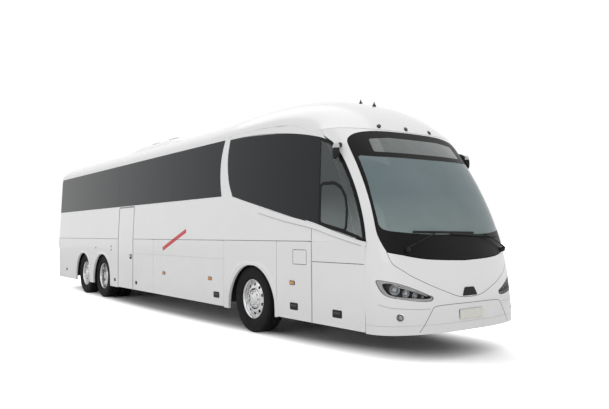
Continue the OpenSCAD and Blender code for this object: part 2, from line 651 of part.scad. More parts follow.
// Staircase from the floor's edge at y = well_y out to the doorway on the left side
module stairs(x0, x1, top, n) along_x(x0, x1) {
    out = half_w - door_t - 12;
    last_y = well_y + (n - 1) * tread_w;
    polygon(concat([[well_y, top], [well_y + riser_t, top]],
        [for (k = [1:n]) for (e = [0, 1]) [e == 0 ? well_y + (k - 1) * tread_w + (k == 1 ? riser_t : 0)
            : k == n ? out : well_y + k * tread_w, tread_z(k, top, n)]],
        [[out, step_z - plate_t], [last_y, step_z - plate_t], [well_y, tread_z(1, top, n) - 60]]));
}

module passenger_floor() color(grey) {
    difference() {
        bar([floor_x0, -inner_y, floor_z - floor_t], [floor_x1, inner_y, floor_z]);
        bar([centre_door_x0, -inner_y - 1, floor_z - floor_t - 1], [stair_x1 + seam, -well_y, floor_z + 1]);
        for (s = [-1, 1]) translate([tail_x - 1, s * (inner_y - 95) - (s < 0 ? 101 : 0),
            floor_z - floor_t - 1])
            cube([rear_corner_r + 1, 101, floor_t + 2]);
    }
    on_side(-1) stairs(centre_door_x0 + seam, stair_x1, floor_z, treads);
}

cab_x0 = floor_x1;
cab_x1 = nose_x - 700;
module cab_floor() color(grey) {
    bar([cab_x0 + seam, -inner_y + seam, cab_floor_z - floor_t], [cab_x1, well_y, cab_floor_z]);
    bar([cab_x0 + seam, -well_y + 150, cab_floor_z], [cab_x0 + 260, well_y, (cab_floor_z + floor_z) / 2]);
    bar([cab_x0 + seam, -inner_y + seam, cab_floor_z], [cab_x0 + 40, -well_y, floor_z]);
    bar([cab_x0 + seam, -inner_y + seam, cab_floor_z], [cab_x0 + 40, inner_y - seam, floor_z - floor_t]);
    stairs(front_door_x0 + 20, front_door_x1 - 20, cab_floor_z, treads - 1);
}

module luggage_hold() color(grey) {
    y = half_w - skirt_t - 12;
    bar([hold_x0, -y, hold_floor_z - plate_t], [hold_x1, y, hold_floor_z]);
    bar([hold_x0, -y, hold_floor_z], [hold_x0 + plate_t, y, carrier_z0 - seam]);
    bar([hold_x1 - plate_t, -y, hold_floor_z], [hold_x1, y, carrier_z0 - seam]);
}

jack_z = 420;
jack_r = 22;
jack_depth = 60;
// Frame member across the coach at x, in pieces between and outside the rails
module cross_member(x, y1, z0, z1) {
    bar([x, -rail_y + seam, z0], [x + member_t, rail_y - seam, z1]);
    if (y1 > rail_y + rail_w) both_sides() bar([x, rail_y + rail_w + seam, z0], [x + member_t, y1, z1]);
}
member_t = 50;
module chassis_frame() color([0.2, 0.2, 0.21]) {
    y1 = half_w - skirt_t - 12;
    deck_z = floor_z - floor_t - seam;
    both_sides() {
        bar([hold_x1 + seam, rail_y, rail_z0], [nose_x - 420, rail_y + rail_w, rail_z1]);
        bar([nose_x - 420 + seam, rail_y, rail_z0], [nose_x - 110, rail_y + rail_w, lamp_panel_z - 20]);
        bar([tail_x + 140, rail_y, rail_z0], [hold_x0 - seam, rail_y + rail_w, rail_z1]);
        bar([tail_x + 140, rail_y, carrier_z0], [floor_x1, rail_y + rail_w, deck_z]);
        for (x = [tail_x + 160, box_rear_x0 - 60, box_rear_x1 + 40, hold_x0 - 60, box_front_x1 + 40,
            floor_x1 - 70])
            bar([x, rail_y, rail_z1 + seam], [x + member_t, rail_y + rail_w, carrier_z0 - seam]);
        // posts between the doors of the luggage hold
        bar([locker_split_x - 30, y1 - 40, hold_floor_z + seam], [locker_split_x + 30, y1,
            carrier_z0 - seam]);
    }
    for (x = concat([tail_x + 160, box_rear_x1 + 40, hold_x0 - 60, box_front_x1 + 40],
        spread(hold_x0 + 400, hold_x1 - 400, 3))) cross_member(x, y1, carrier_z0, deck_z);
    for (x = [box_rear_x1 + 40, hold_x0 - 60, hold_x1 + seam, floor_x1 - 70, nose_x - 760])
        cross_member(x, 0, rail_z0 + 20, rail_z1 - 20);
    // jacking sockets
    for (x = [nose_x - 500, tail_x + 160]) both_sides() difference() {
        bar([x, rail_y, jack_z], [x + rail_w, rail_y + rail_w, rail_z0 - seam]);
        translate([x + rail_w / 2, rail_y + rail_w / 2, jack_z - 1]) cylinder(h = jack_depth + 1,
            r = jack_r, $fn = 48);
    }
}

module wheel_housings() color(black) both_sides() {
    y0 = wheel_y - tyre_w / 2 - 365;
    y1 = half_w - skirt_t - 0.5;
    for (span = [[box_front_x0, box_front_x1], [box_rear_x0, box_rear_x1]]) {
        x0 = span[0];
        x1 = span[1];
        top = arch_top + 70;
        low = hold_floor_z;
        outer = [[x0, low], [x0, top - 240], [x0 + 200, top], [x1 - 200, top], [x1, top - 240], [x1, low]];
        t = 8;
        inner = [[x1 - t, low - 1], [x1 - t, top - 243], [x1 - 203, top - t], [x0 + 203, top - t],
            [x0 + t, top - 243], [x0 + t, low - 1]];
        difference() {
            along_y(y0, y1) polygon(outer);
            along_y(y0 + t, y1 + 1) polygon(inner);
            for (x = [front_axle_x, drive_axle_x, tag_axle_x])
                bar([x - 130, y0 - 1, low - 1], [x + 130, y0 + t + 1, tyre_r + 170]);
        }
    }
}

// ---- axles and wheels ----------------------------------------------------------------------

eye_r = 46;
eye_h = 130;
pin_r = 25;
module front_axle() color([0.16, 0.16, 0.17]) {
    difference() {
        union() {
            bar([front_axle_x - 50, -kingpin_y, tyre_r - 65], [front_axle_x + 50, kingpin_y, tyre_r + 45]);
            both_sides() translate([front_axle_x, kingpin_y, tyre_r - eye_h / 2]) cylinder(h = eye_h,
                r = eye_r, $fn = 48);
        }
        both_sides() translate([front_axle_x, kingpin_y, tyre_r - eye_h]) cylinder(h = 2 * eye_h,
            r = pin_r + run_gap, $fn = 48);
    }
    both_sides() bellows(front_axle_x, tyre_r + 45);
}
module bellows(x, z) translate([x, rail_y + rail_w / 2, z]) cylinder(h = rail_z0 - seam - z, r = 105,
    $fn = 48);

module knuckle() color([0.25, 0.25, 0.26]) {
    fork = eye_h / 2 + 5;
    x = front_axle_x;
    translate([x, kingpin_y, tyre_r - fork - 22]) cylinder(h = 2 * fork + 44, r = pin_r, $fn = 48);
    for (z = [tyre_r - fork - 22, tyre_r + fork]) bar([x - 42, kingpin_y - 40, z], [x + 42,
        kingpin_y + 86, z + 22]);
    bar([x - 42, kingpin_y + 60, tyre_r - fork - 22], [x + 42, kingpin_y + 86, tyre_r + fork + 22]);
    rod_y(x, tyre_r, kingpin_y + 80, wheel_y + 92, stub_r);
}
module right_knuckle() on_side(-1) knuckle();
module left_knuckle() knuckle();

module drive_axle() color([0.16, 0.16, 0.17]) {
    x = drive_axle_x;
    rod_y(x, tyre_r, -rail_y - 170, rail_y + 170, 95);
    rod_y(x, tyre_r, -150, 150, 205);
    both_sides() rod_y(x, tyre_r, rail_y + 150, wheel_y + 10, drive_stub_r);
    both_sides() bellows(x, tyre_r + 80);
    rod_x(engine_x1 + 600 + seam, x - 150, 0, tyre_r + 128, 45);
}
module tag_axle() color([0.16, 0.16, 0.17]) {
    x = tag_axle_x;
    rod_y(x, tyre_r, -wheel_y + 110, wheel_y - 110, 60);
    both_sides() rod_y(x, tyre_r, wheel_y - 120, wheel_y + 92, stub_r);
    both_sides() bellows(x, tyre_r + 50);
}

// Half section of a tyre as [radius, y], around its own middle
module tyre_ring(y) translate([0, y, 0]) rotate([90, 0, 0]) rotate_extrude($fn = 96) polygon([
    [rim_r - 14, -tyre_w / 2 + 39.5], [rim_r + 2, -tyre_w / 2 + 39.5], [rim_r + 28, -tyre_w / 2 + 14],
    [mix(rim_r, tyre_r, 0.55), -tyre_w / 2], [tyre_r - 32, -tyre_w / 2 + 4], [tyre_r - 8, -tyre_w / 2 + 18],
    [tyre_r, -tyre_w / 2 + 50], [tyre_r, tyre_w / 2 - 50], [tyre_r - 8, tyre_w / 2 - 18],
    [tyre_r - 32, tyre_w / 2 - 4], [mix(rim_r, tyre_r, 0.55), tyre_w / 2], [rim_r + 28, tyre_w / 2 - 14],
    [rim_r + 2, tyre_w / 2 - 39.5], [rim_r - 14, tyre_w / 2 - 39.5]]);

// Solids turned about the axle from half sections given as [radius, y]
module turned(outline) mirror([0, 1, 0]) rotate([90, 0, 0]) rotate_extrude($fn = 96) polygon(outline);
rim_half = tyre_w / 2 - 28;
tube_r = rim_r - 14.3;
rim_t = 14;
module rim_tube(y) turned([[tube_r - rim_t, y - rim_half], [rim_r - 2, y - rim_half], [rim_r - 2,
    y - rim_half + 10],
    [tube_r, y - rim_half + 10], [tube_r, y + rim_half - 10], [rim_r - 2, y + rim_half - 10],
    [rim_r - 2, y + rim_half], [tube_r - rim_t, y + rim_half]]);
module disc(y_out, y_in, r_in) turned([[r_in, y_in - 7], [tube_r - rim_t + 2, y_out - 7],
    [tube_r - rim_t + 2, y_out + 7], [r_in, y_in + 7]]);
hand_holes = 10;
hand_hole_r = 27;
module hand_hole_cuts(y) for (k = [0:hand_holes - 1]) rotate([0, k * 360 / hand_holes, 0])
    rod_y(tube_r - 80, 0, y - 45, y + 45, hand_hole_r);
module at_axle(x, s) on_side(s) translate([x, wheel_y, tyre_r]) children();

hub_r = 118;
module single_rim() color("silver") {
    difference() {
        union() {
            rim_tube(0);
            disc(62, 94, hub_r - 8);
        }
        hand_hole_cuts(78);
    }
    turned([[stub_r + run_gap, 20], [hub_r, 20], [hub_r, 112], [stub_r + run_gap, 112]]);
    rod_y(0, 0, 111, 130, hub_r - 6);
}
twin_hub_r = 132;
module twin_rim() color("silver") {
    mid = -twin_pitch / 2;
    difference() {
        union() {
            rim_tube(0);
            rim_tube(-twin_pitch);
            disc(-75, mid + 12, twin_hub_r - 8);
            disc(-twin_pitch + 75, mid - 12, twin_hub_r - 8);
        }
        hand_hole_cuts(mid + 30);
        hand_hole_cuts(mid - 30);
    }
    turned([[drive_stub_r + run_gap, mid - 60], [twin_hub_r, mid - 60], [twin_hub_r, 20],
        [drive_stub_r + run_gap, 20]]);
    rod_y(0, 0, 19, 40, twin_hub_r - 6);
}

module right_front_tyre() color(black) at_axle(front_axle_x, -1) tyre_ring(0);
module left_front_tyre() color(black) at_axle(front_axle_x, 1) tyre_ring(0);
module right_tag_tyre() color(black) at_axle(tag_axle_x, -1) tyre_ring(0);
module left_tag_tyre() color(black) at_axle(tag_axle_x, 1) tyre_ring(0);
module right_front_rim() at_axle(front_axle_x, -1) single_rim();
module left_front_rim() at_axle(front_axle_x, 1) single_rim();
module right_tag_rim() at_axle(tag_axle_x, -1) single_rim();
module left_tag_rim() at_axle(tag_axle_x, 1) single_rim();
module twin_tyres() color(black) for (y = [0, -twin_pitch]) tyre_ring(y);
module right_drive_tyres() at_axle(drive_axle_x, -1) twin_tyres();
module left_drive_tyres() at_axle(drive_axle_x, 1) twin_tyres();
module right_drive_rims() at_axle(drive_axle_x, -1) twin_rim();
module left_drive_rims() at_axle(drive_axle_x, 1) twin_rim();

engine_x0 = tail_x + 240;
engine_x1 = engine_x0 + 1250;
module engine_block() color(grey) {
    bar([engine_x0, -rail_y + run_gap, 480], [engine_x1, rail_y - run_gap, carrier_z0 - 30]);
    bar([engine_x1 - 10, -230, 500], [engine_x1 + 600, 230, 860]);
}

// ---- fittings ------------------------------------------------------------------------------

// The front marker of the left side stands clear of the door's arms
module side_markers() color("orange") for (s = [-1, 1]) on_side(s)
    for (x = [locker_split_x + 525, long_locker_x1 - 490, front_locker_x0 + (s > 0 ? 210 : 400)])
        bar([x - 45, half_w + 0.3, 760], [x + 45, half_w + 12, 792]);

module roof_air_unit() color(white) {
    x0 = tail_x + 4400;
    top = roof_z + 185;
    w = 780;
    rim = side_y(cant_z);
    difference() {
        along_x(x0, x0 + 2300) polygon([[-w, roof_z - 160], [-w, top - 90], [-w + 160, top], [w - 160, top],
            [w, top - 90], [w, roof_z - 160]]);
        along_x(x0 - 10, x0 + 2310) polygon([for (a = spread(-90, 90, 28)) [rim * sin(a),
            cant_z + roof_rise * cos(a) + seam]]);
    }
}

module camera_pods() color(black) both_sides() {
    z = 2560;
    foot = ring_point(face_ring(z + 130), 73, -24.9);
    tip = [nose_x - 1075, side_y(z) + 110, z - 60];
    hull() {
        translate(foot) sphere(r = 25, $fn = 24);
        translate(tip + [-10, -10, 130]) sphere(r = 34, $fn = 24);
        translate(tip) sphere(r = 44, $fn = 24);
        translate(tip + [-15, 5, -130]) sphere(r = 38, $fn = 24);
    }
}

module wipers() color(black) both_sides() {
    z = scuttle_z + 30;
    p = ring_point(face_ring(z), 20, -2);
    rod_x(p[0] + 1.3, p[0] + 40, p[1], p[2], 14);
}

module dashboard() color([0.15, 0.15, 0.16]) {
    x1 = nose_x - 560;
    difference() {
        along_y(-inner_y + 120, 350) polygon([[cab_x1 - 160, cab_floor_z + seam], [cab_x1 - 230,
            cab_floor_z + 300],
            [x1 - 170, scuttle_z + 100], [x1, scuttle_z + 60], [x1, cab_floor_z + seam]]);
        at_column() translate([0, 0, -column_l - 1]) cylinder(h = column_l, r = column_r + run_gap,
            $fn = 48);
    }
}
steer_y = -620;
column_r = 28;
column_l = 330;
module at_column() translate([nose_x - 1080, steer_y, 1480]) rotate([0, -28, 0]) children();
module steering_wheel() color(black) at_column() {
    rotate_extrude($fn = 64) translate([225, 0]) circle(r = 15, $fn = 24);
    cylinder(h = 24, r = 60, center = true, $fn = 48);
    for (a = [0, 120, 240]) rotate([0, 0, a]) bar([40, -14, -8], [222, 14, 8]);
    translate([0, 0, -column_l]) cylinder(h = column_l, r = column_r, $fn = 48);
}
module driver_seat() color(black) translate([nose_x - 1620, steer_y, cab_floor_z]) {
    bar([-190, -180, seam], [190, 180, 360]);
    bar([-240, -230, 360], [240, 230, 500]);
    translate([-250, -230, 480]) rotate([0, -12, 0]) bar([-60, 0, 0], [50, 460, 760]);
}

seat_x1 = floor_x1 - 350;
seat_rows = floor((seat_x1 - tail_x - 500) / seat_pitch);
seat_h = 430;
// The seats stand against the wall at the height of their heads
aisle_y = side_y(floor_z + seat_h + 740) - wall_t - 15 - 2 * seat_w;
// A row on side s is left out where the centre stairwell is
function row_x(k) = seat_x1 - k * seat_pitch;
function has_row(s, k) = s > 0 || row_x(k) - 620 > centre_door_x1 + 40 || row_x(k)
    + 60 < centre_door_x0 - 40;
module each_pair() for (s = [-1, 1]) for (k = [0:seat_rows - 1]) if (has_row(s, k))
    on_side(s) translate([row_x(k), aisle_y, floor_z]) children();
module passenger_seat_frames() color(grey) each_pair() {
    bar([-420, 60, seam], [-60, 110, seat_h - 60]);
    bar([-420, 2 * seat_w - 160, seam], [-60, 2 * seat_w - 110, seat_h - 60]);
    bar([-470 + seam, 10, seat_h - 60], [0, 2 * seat_w, seat_h - 20]);
    bar([-500, 10, seat_h - 60], [-470, 2 * seat_w, seat_h + 600]);
}
module passenger_cushions() color([0.25, 0.27, 0.4]) each_pair() for (y = [0, seat_w]) {
    bar([-460, y + 15, seat_h - 19.5], [0, y + seat_w - 10, seat_h + 90]);
    bar([-469.5, y + 15, seat_h + 90.5], [-360, y + seat_w - 10, seat_h + 720]);
}

module luggage_racks() color(grey) both_sides() {
    z0 = cant_z - 130;
    along_x(tail_x + 400, floor_x1 - 350) polygon([
        [side_y(z0) - wall_t - seam, z0], [side_y(z0 + 60) - wall_t - seam, z0 + 60],
        [side_y(z0) - wall_t - 420, z0 + 80], [side_y(z0) - wall_t - 440, z0 + 20]]);
}

chassis_frame();
passenger_floor();
cab_floor();
luggage_hold();
wheel_housings();
right_skirt();
left_skirt();
right_upper_wall();
left_upper_wall();
roof();
front_bumper();
lamp_panel();
front_flap();
front_corner_panels();
windscreen();
side_windows();
rear_wall();
rear_window();
rear_bumper();
front_lamps();
rear_lamps();
side_markers();
roof_air_unit();
camera_pods();
wipers();
dashboard();
steering_wheel();
driver_seat();
passenger_seat_frames();
passenger_cushions();
luggage_racks();
engine_block();
front_axle();
drive_axle();
tag_axle();
right_knuckle();
left_knuckle();
right_front_tyre();
left_front_tyre();
right_front_rim();
left_front_rim();
right_drive_tyres();
left_drive_tyres();
right_drive_rims();
left_drive_rims();
right_tag_tyre();
left_tag_tyre();
right_tag_rim();
left_tag_rim();
centre_door();
centre_door_arms();
front_door();
front_door_arms();
right_rear_locker_door();
right_long_locker_door();
right_front_locker_door();
driver_locker_door();
left_rear_locker_door();
left_long_locker_door();
engine_door();
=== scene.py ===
"""Finished look of a three-axle touring coach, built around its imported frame."""

from math import acos, asin, atan, atan2, ceil, copysign, cos, dist, hypot, pi, radians, sin, sqrt, tau

import bmesh
import bpy
import numpy as np
from mathutils import Matrix, Vector
from mathutils.geometry import delaunay_2d_cdt


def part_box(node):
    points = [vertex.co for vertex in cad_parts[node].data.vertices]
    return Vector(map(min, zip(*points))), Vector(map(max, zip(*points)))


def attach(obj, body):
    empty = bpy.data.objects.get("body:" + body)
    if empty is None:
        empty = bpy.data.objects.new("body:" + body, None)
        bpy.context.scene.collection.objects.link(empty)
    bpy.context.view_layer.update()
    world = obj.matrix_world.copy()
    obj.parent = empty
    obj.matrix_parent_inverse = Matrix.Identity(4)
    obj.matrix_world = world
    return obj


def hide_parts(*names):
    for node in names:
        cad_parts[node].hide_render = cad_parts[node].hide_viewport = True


bl_info = {
    "name": "Touring coach",
    "version": (1, 0, 0),
    "blender": (4, 5, 0),
    "location": "3D View > Sidebar > Coach",
    "description": "Builds the skin, glass, lamps, wheels and cabin of a touring coach",
    "category": "Object",
}

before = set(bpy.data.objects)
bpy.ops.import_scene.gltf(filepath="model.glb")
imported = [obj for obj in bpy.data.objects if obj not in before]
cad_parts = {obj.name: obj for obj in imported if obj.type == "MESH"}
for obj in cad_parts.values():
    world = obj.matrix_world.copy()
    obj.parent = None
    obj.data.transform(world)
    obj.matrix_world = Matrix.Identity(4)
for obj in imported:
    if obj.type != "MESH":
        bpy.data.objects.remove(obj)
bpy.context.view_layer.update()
HALF_W = 1.275
NOSE, TAIL = 7.0, -7.0
SILL, WAIST, CANT = 0.33, 1.435, 3.16
SCUTTLE, SCREEN_TOP = 1.19, 2.94
ROOF, DOME, DOME_X = 3.56, 3.625, 3.3
REAR_R = 0.15
AXLES = {"front": 3.7, "drive": -3.28, "tag": -4.65}
WHEEL_Y, WHEEL_R, TWIN = 1.0575, 0.522, 0.33
SIDES = {"right": -1, "left": 1}


# ---- the coach's own surface ---------------------------------------------------------------
def mix(a, b, u):
    return a + (b - a) * u


def spread(a, b, n):
    """Numbers from a to b in n even steps."""
    return [mix(a, b, k / n) for k in range(n + 1)]


def side_y(z):
    """Half width at height z: upright to the waist, then leaning in."""
    return HALF_W - 0.084 * max(0.0, z - WAIST) / (CANT - WAIST)


def face_x(z):
    if z <= SCUTTLE:
        return NOSE - 0.09 * ((z - SILL) / (SCUTTLE - SILL)) ** 2
    t = (z - SCUTTLE) / (SCREEN_TOP - SCUTTLE)
    return NOSE - 0.09 - 0.96 * (0.456 * t + 0.544 * t * t)


def face_depth(z):
    return 0.56 if z <= WAIST else mix(0.56, 0.45, (z - WAIST) / (SCREEN_TOP - WAIST))


def face_ring(z):
    tilt = atan((face_x(z) - face_x(z + 0.001)) / 0.001)
    return face_x(z), z, 0.0, face_depth(z), 2.5, tilt


def dome_at(u):
    a = Vector((face_x(SCREEN_TOP), SCREEN_TOP))
    b = a + Vector((-0.52, 0.61))
    d = Vector((DOME_X, DOME))
    c = d + Vector((1.5, 0.0))
    return a * (1 - u) ** 3 + b * (3 * u * (1 - u) ** 2) + c * (3 * u * u * (1 - u)) + d * u ** 3


def dome_ring(u):
    p, q = dome_at(u), dome_at(u + 0.01)
    fall = pi / 2 * sin(pi / 2 * min(1.0, u / 0.6))
    return p.x, p.y, fall, mix(0.45, DOME - CANT, u), mix(2.5, 2.0, u), atan2(p.x - q.x, q.y - p.y)


def roof_at(x):
    if x > DOME_X - 1.1:
        return mix(ROOF, DOME, (1 - cos(pi * min(1.0, (x - DOME_X + 1.1) / 1.1))) / 2)
    back = max(0.0, TAIL + 0.6 - x)
    return ROOF - 0.23 * (1 - sqrt(max(0.0, 1 - (back / 0.6) ** 2)))


def roof_ring(x):
    return x, roof_at(x), pi / 2, roof_at(x) - CANT, 2.0, pi / 2


def ring_point(ring, a, d=0.0):
    """Point of a ring at angle a from its middle, d below the surface."""
    x, z, fall, depth, power, tilt = ring
    p = copysign(abs(sin(a)) ** (2 / power), a)
    c = max(0.0, cos(a)) ** (2 / power)
    back = x - TAIL
    inset = REAR_R - sqrt(max(0.0, REAR_R ** 2 - (REAR_R - back) ** 2)) if back < REAR_R else 0.0
    w = side_y(z - depth * sin(fall)) - inset - d
    return Vector((
        x - depth * (1 - c) * cos(fall) - d * c * cos(tilt),
        w * p,
        z - depth * (1 - c) * sin(fall) - d * c * sin(tilt),
    ))


ARC_A = np.linspace(0.0, pi / 2, 401)
ARC_P = np.array([ring_point(face_ring(SCUTTLE), a)[:] for a in ARC_A])
ARC_S = np.concatenate([[0.0], np.cumsum(np.linalg.norm(np.diff(ARC_P, axis=0), axis=1))])


def arc(degrees):
    """Distance round the nose from its middle to an angle."""
    return copysign(float(np.interp(radians(abs(degrees)), ARC_A, ARC_S)), degrees)


def on_nose(s, z, d=0.0):
    a = copysign(float(np.interp(abs(s), ARC_S, ARC_A)), s)
    return ring_point(face_ring(z), a, d)


def on_side(side):
    """Map of x and z onto one side of the coach, running on round the front corner."""
    def place(x, z, d=0.0):
        reach = face_x(z) - face_depth(z)
        if x <= reach:
            return Vector((x, side * (side_y(z) - d), z))
        c = min(1.0, (x - reach) / face_depth(z))
        return ring_point(face_ring(z), side * acos(c ** 1.25), d)
    return place


def on_tail(y, z, d=0.0):
    flat = side_y(z) - REAR_R
    if abs(y) <= flat:
        return Vector((TAIL + d, y, z))
    a = (abs(y) - flat) / REAR_R
    r = REAR_R - d
    return Vector((TAIL + REAR_R - r * cos(a), copysign(flat + r * sin(a), y), z))


# ---- outlines ------------------------------------------------------------------------------
def curve(points, steps=5, closed=False):
    """Smooth line through a few points."""
    p = [Vector(q) for q in points]
    n = len(p)
    out = []
    for k in range(n if closed else n - 1):
        a = p[(k - 1) % n] if closed or k else p[0] * 2 - p[1]
        b, c = p[k], p[(k + 1) % n]
        d = p[(k + 2) % n] if closed or k + 2 < n else c * 2 - b
        for j in range(steps):
            t = j / steps
            out.append((b * 2 + (c - a) * t + (a * 2 - b * 5 + c * 4 - d) * t * t
                        + (b * 3 - a - c * 3 + d) * t ** 3) / 2)
    return [tuple(q) for q in (out if closed else out + [p[-1]])]


def mirrored(points):
    """An outline across the middle, from its half with positive first numbers."""
    return list(points) + [(-p[0], p[1]) for p in reversed(points)]


def nose_line(points):
    return [(arc(a), z) for a, z in points]


def fillet(points, r, steps=4):
    """Outline with its corners rounded."""
    out = []
    n = len(points)
    for k in range(n):
        a, b, c = (Vector(points[(k + j) % n]) for j in (-1, 0, 1))
        u, v = (a - b), (c - b)
        reach = min(r, u.length / 2.2, v.length / 2.2)
        p, q = b + u.normalized() * reach, b + v.normalized() * reach
        for j in range(steps + 1):
            t = j / steps
            out.append(tuple(p * (1 - t) ** 2 + b * (2 * t * (1 - t)) + q * t * t))
    return out


def grown(points, d):
    """Outline moved outward by d."""
    area = sum(a[0] * b[1] - b[0] * a[1] for a, b in zip(points, points[1:] + points[:1]))
    turn = 1 if area > 0 else -1
    out = []
    n = len(points)
    for k in range(n):
        a, b, c = (Vector(points[(k + j) % n]) for j in (-1, 0, 1))
        t = (b - a).normalized() + (c - b).normalized()
        if t.length < 1e-6:
            out.append(tuple(b))
            continue
        t.normalize()
        out.append((b.x + turn * t.y * d, b.y - turn * t.x * d))
    return out


def box_line(x0, x1, z0, z1):
    return [(x0, z0), (x1, z0), (x1, z1), (x0, z1)]


def disc_line(x, z, r, steps=28):
    return [(x + r * cos(tau * k / steps), z + r * sin(tau * k / steps))
            for k in range(steps)]


def even(points, pitch):
    out = []
    for a, b in zip(points, points[1:] + points[:1]):
        n = max(1, ceil(dist(a, b) / pitch))
        out += [(mix(a[0], b[0], j / n), mix(a[1], b[1], j / n)) for j in range(n)]
    return out


def inside(points, line):
    x, y = points[:, 0], points[:, 1]
    hit = np.zeros(len(points), bool)
    for (ax, ay), (bx, by) in zip(line, line[1:] + line[:1]):
        if ay != by:
            hit ^= ((ay > y) != (by > y)) & (x < (bx - ax) * (y - ay) / (by - ay) + ax)
    return hit


def level(z, start, end, n):
    """Line along one height, in n parts."""
    return [(x, z) for x in spread(start, end, n)]


def upright(x, start, end, n):
    return [(x, z) for z in spread(start, end, n)]


# Lift and thickness of the dark lines that mark seams, and of the grey lines of painted shade along
# creases.
SEAM, NOSE_SEAM = (-0.0006, 0.002), (-0.0006, 0.004)


# ---- mesh of one piece ---------------------------------------------------------------------
class Mould:
    """Gathers the surfaces of one piece and turns them into an object."""

    def __init__(self):
        self.points, self.faces, self.slots = [], [], []

    def add(self, points, faces, slot=0):
        base = len(self.points)
        self.points += [tuple(p) for p in points]
        self.faces += [[base + i for i in f] for f in faces]
        self.slots += list(slot) if isinstance(slot, (list, tuple)) else [slot] * len(faces)

    def grid(self, rows, slot=0, round_rows=False, round_columns=False):
        """Quads over rows of points; a round grid joins its last row or column to its first."""
        n, m = len(rows), len(rows[0])
        faces = []
        for i in range(n if round_rows else n - 1):
            for j in range(m if round_columns else m - 1):
                k, l = (i + 1) % n, (j + 1) % m
                faces.append([i * m + j, i * m + l, k * m + l, k * m + j])
        self.add([p for row in rows for p in row], faces, slot)

    def close_ends(self, rows, slot):
        """Quads over the first and last rows, each an outer line and an inner one run backwards."""
        n = len(rows[0]) // 2
        for row in (rows[0], rows[-1]):
            self.add(row, [[j, j + 1, 2 * n - 2 - j, 2 * n - 1 - j] for j in range(n - 1)], slot)

    def lathe(self, profile, origin, axis, steps=32, slot=0, closed=False, shape=None):
        """Surface turned about an axis from pairs of radius and height along it."""
        axis = Vector(axis).normalized()
        u = axis.orthogonal().normalized() if abs(axis.y) < 0.99 else Vector((1, 0, 0))
        v = axis.cross(u)
        origin = Vector(origin)
        rows = []
        for k in range(steps):
            t = tau * k / steps
            ray = u * cos(t) + v * sin(t)
            rows.append([origin + ray * (r + (shape(k, r, h) if shape else 0.0)) + axis * h
                         for r, h in profile])
        self.grid(rows, slot, round_rows=True, round_columns=closed)

    def tube(self, path, radius, steps=10, slot=0, flat=1.0):
        """Round bar along a path, with closed ends."""
        path = [Vector(p) for p in path]
        rows = []
        for k, p in enumerate(path):
            t = (path[min(k + 1, len(path) - 1)] - path[max(k - 1, 0)]).normalized()
            u = Vector((0, 0, 1)).cross(t)
            u = u.normalized() if u.length > 1e-3 else Vector((1, 0, 0))
            v = t.cross(u)
            r = radius[k] if isinstance(radius, (list, tuple)) else radius
            rows.append([p + (u * cos(a) + v * sin(a) * flat) * r
                         for a in (tau * j / steps for j in range(steps))])
        rows = [[path[0]] * steps] + rows + [[path[-1]] * steps]
        self.grid(rows, slot, round_columns=True)

    def block(self, low, high, r=0.01, slot=0, turn=None, steps=2):
        """Block with rounded edges, turned about its middle where asked."""
        low, high = Vector(low), Vector(high)
        bm = bmesh.new()
        bmesh.ops.create_cube(bm, size=1.0)
        size = high - low
        bmesh.ops.scale(bm, vec=size, verts=bm.verts)
        if r > 0:
            bmesh.ops.bevel(bm, geom=bm.edges[:], offset=min(r, min(size) * 0.45), segments=steps,
                            profile=0.5, affect="EDGES")
        place = Matrix.Translation((low + high) / 2) @ (turn or Matrix()).to_4x4()
        bm.verts.index_update()
        self.add([place @ v.co for v in bm.verts], [[v.index for v in f.verts] for f in bm.faces], slot)
        bm.free()

    def panel(self, line, place, thick=0.004, holes=(), zones=(), pitch=0.06, lift=0.0, slots=(0, 1, 1)):
        """Sheet inside an outline, laid on a surface; slots are for its face, back and rim."""
        slots = (slots,) * 3 if isinstance(slots, int) else slots
        line = even(line, pitch)
        holes = [even(h, pitch) for h in holes]
        marks = [even(z, pitch) for z, _ in zones]
        loops = [line] + holes + marks
        edge = np.array([p for loop in loops for p in loop])
        (x0, y0), (x1, y1) = edge.min(0), edge.max(0)
        gx, gy = np.meshgrid(np.arange(x0 + pitch / 2, x1, pitch), np.arange(y0 + pitch / 2, y1, pitch))
        field = np.stack([gx.ravel(), gy.ravel()], 1)
        keep = inside(field, line)
        for h in holes:
            keep &= ~inside(field, h)
        field = field[keep]
        if len(field):
            near = np.array([np.min(np.hypot(*(edge - p).T)) for p in field])
            field = field[near > pitch * 0.45]
        verts = [Vector(p) for p in edge] + [Vector(p) for p in field]
        edges = []
        base = 0
        for loop in loops:
            n = len(loop)
            edges += [(base + k, base + (k + 1) % n) for k in range(n)]
            base += n
        co, _, tris = delaunay_2d_cdt(verts, edges, [], 0, 1e-6)[:3]
        co = np.array([c[:] for c in co])
        tris = np.array(tris)
        middle = co[tris].mean(1)
        keep = inside(middle, line)
        for h in holes:
            keep &= ~inside(middle, h)
        tris, middle = tris[keep], middle[keep]
        slot = np.full(len(tris), slots[0])
        for z, s in zones:
            slot[inside(middle, z)] = s
        used = {v: k for k, v in enumerate(sorted(set(tris.ravel().tolist())))}
        n = len(used)
        face = [place(*co[v], lift) for v in used]
        back = [place(*co[v], lift + thick) for v in used]
        tris = [[used[v] for v in t] for t in tris.tolist()]
        a, b, c = (Vector(face[k]) for k in tris[0])
        if (b - a).cross(c - a).dot(a - Vector(back[tris[0][0]])) < 0:
            tris = [t[::-1] for t in tris]
        sides = {(t[k], t[(k + 1) % 3]) for t in tris for k in range(3)}
        rim = [[b, a, a + n, b + n] for a, b in sides if (b, a) not in sides]
        self.add(face + back, tris + [[v + n for v in reversed(t)] for t in tris] + rim,
                 slot.tolist() + [slots[1]] * len(tris) + [slots[2]] * len(rim))

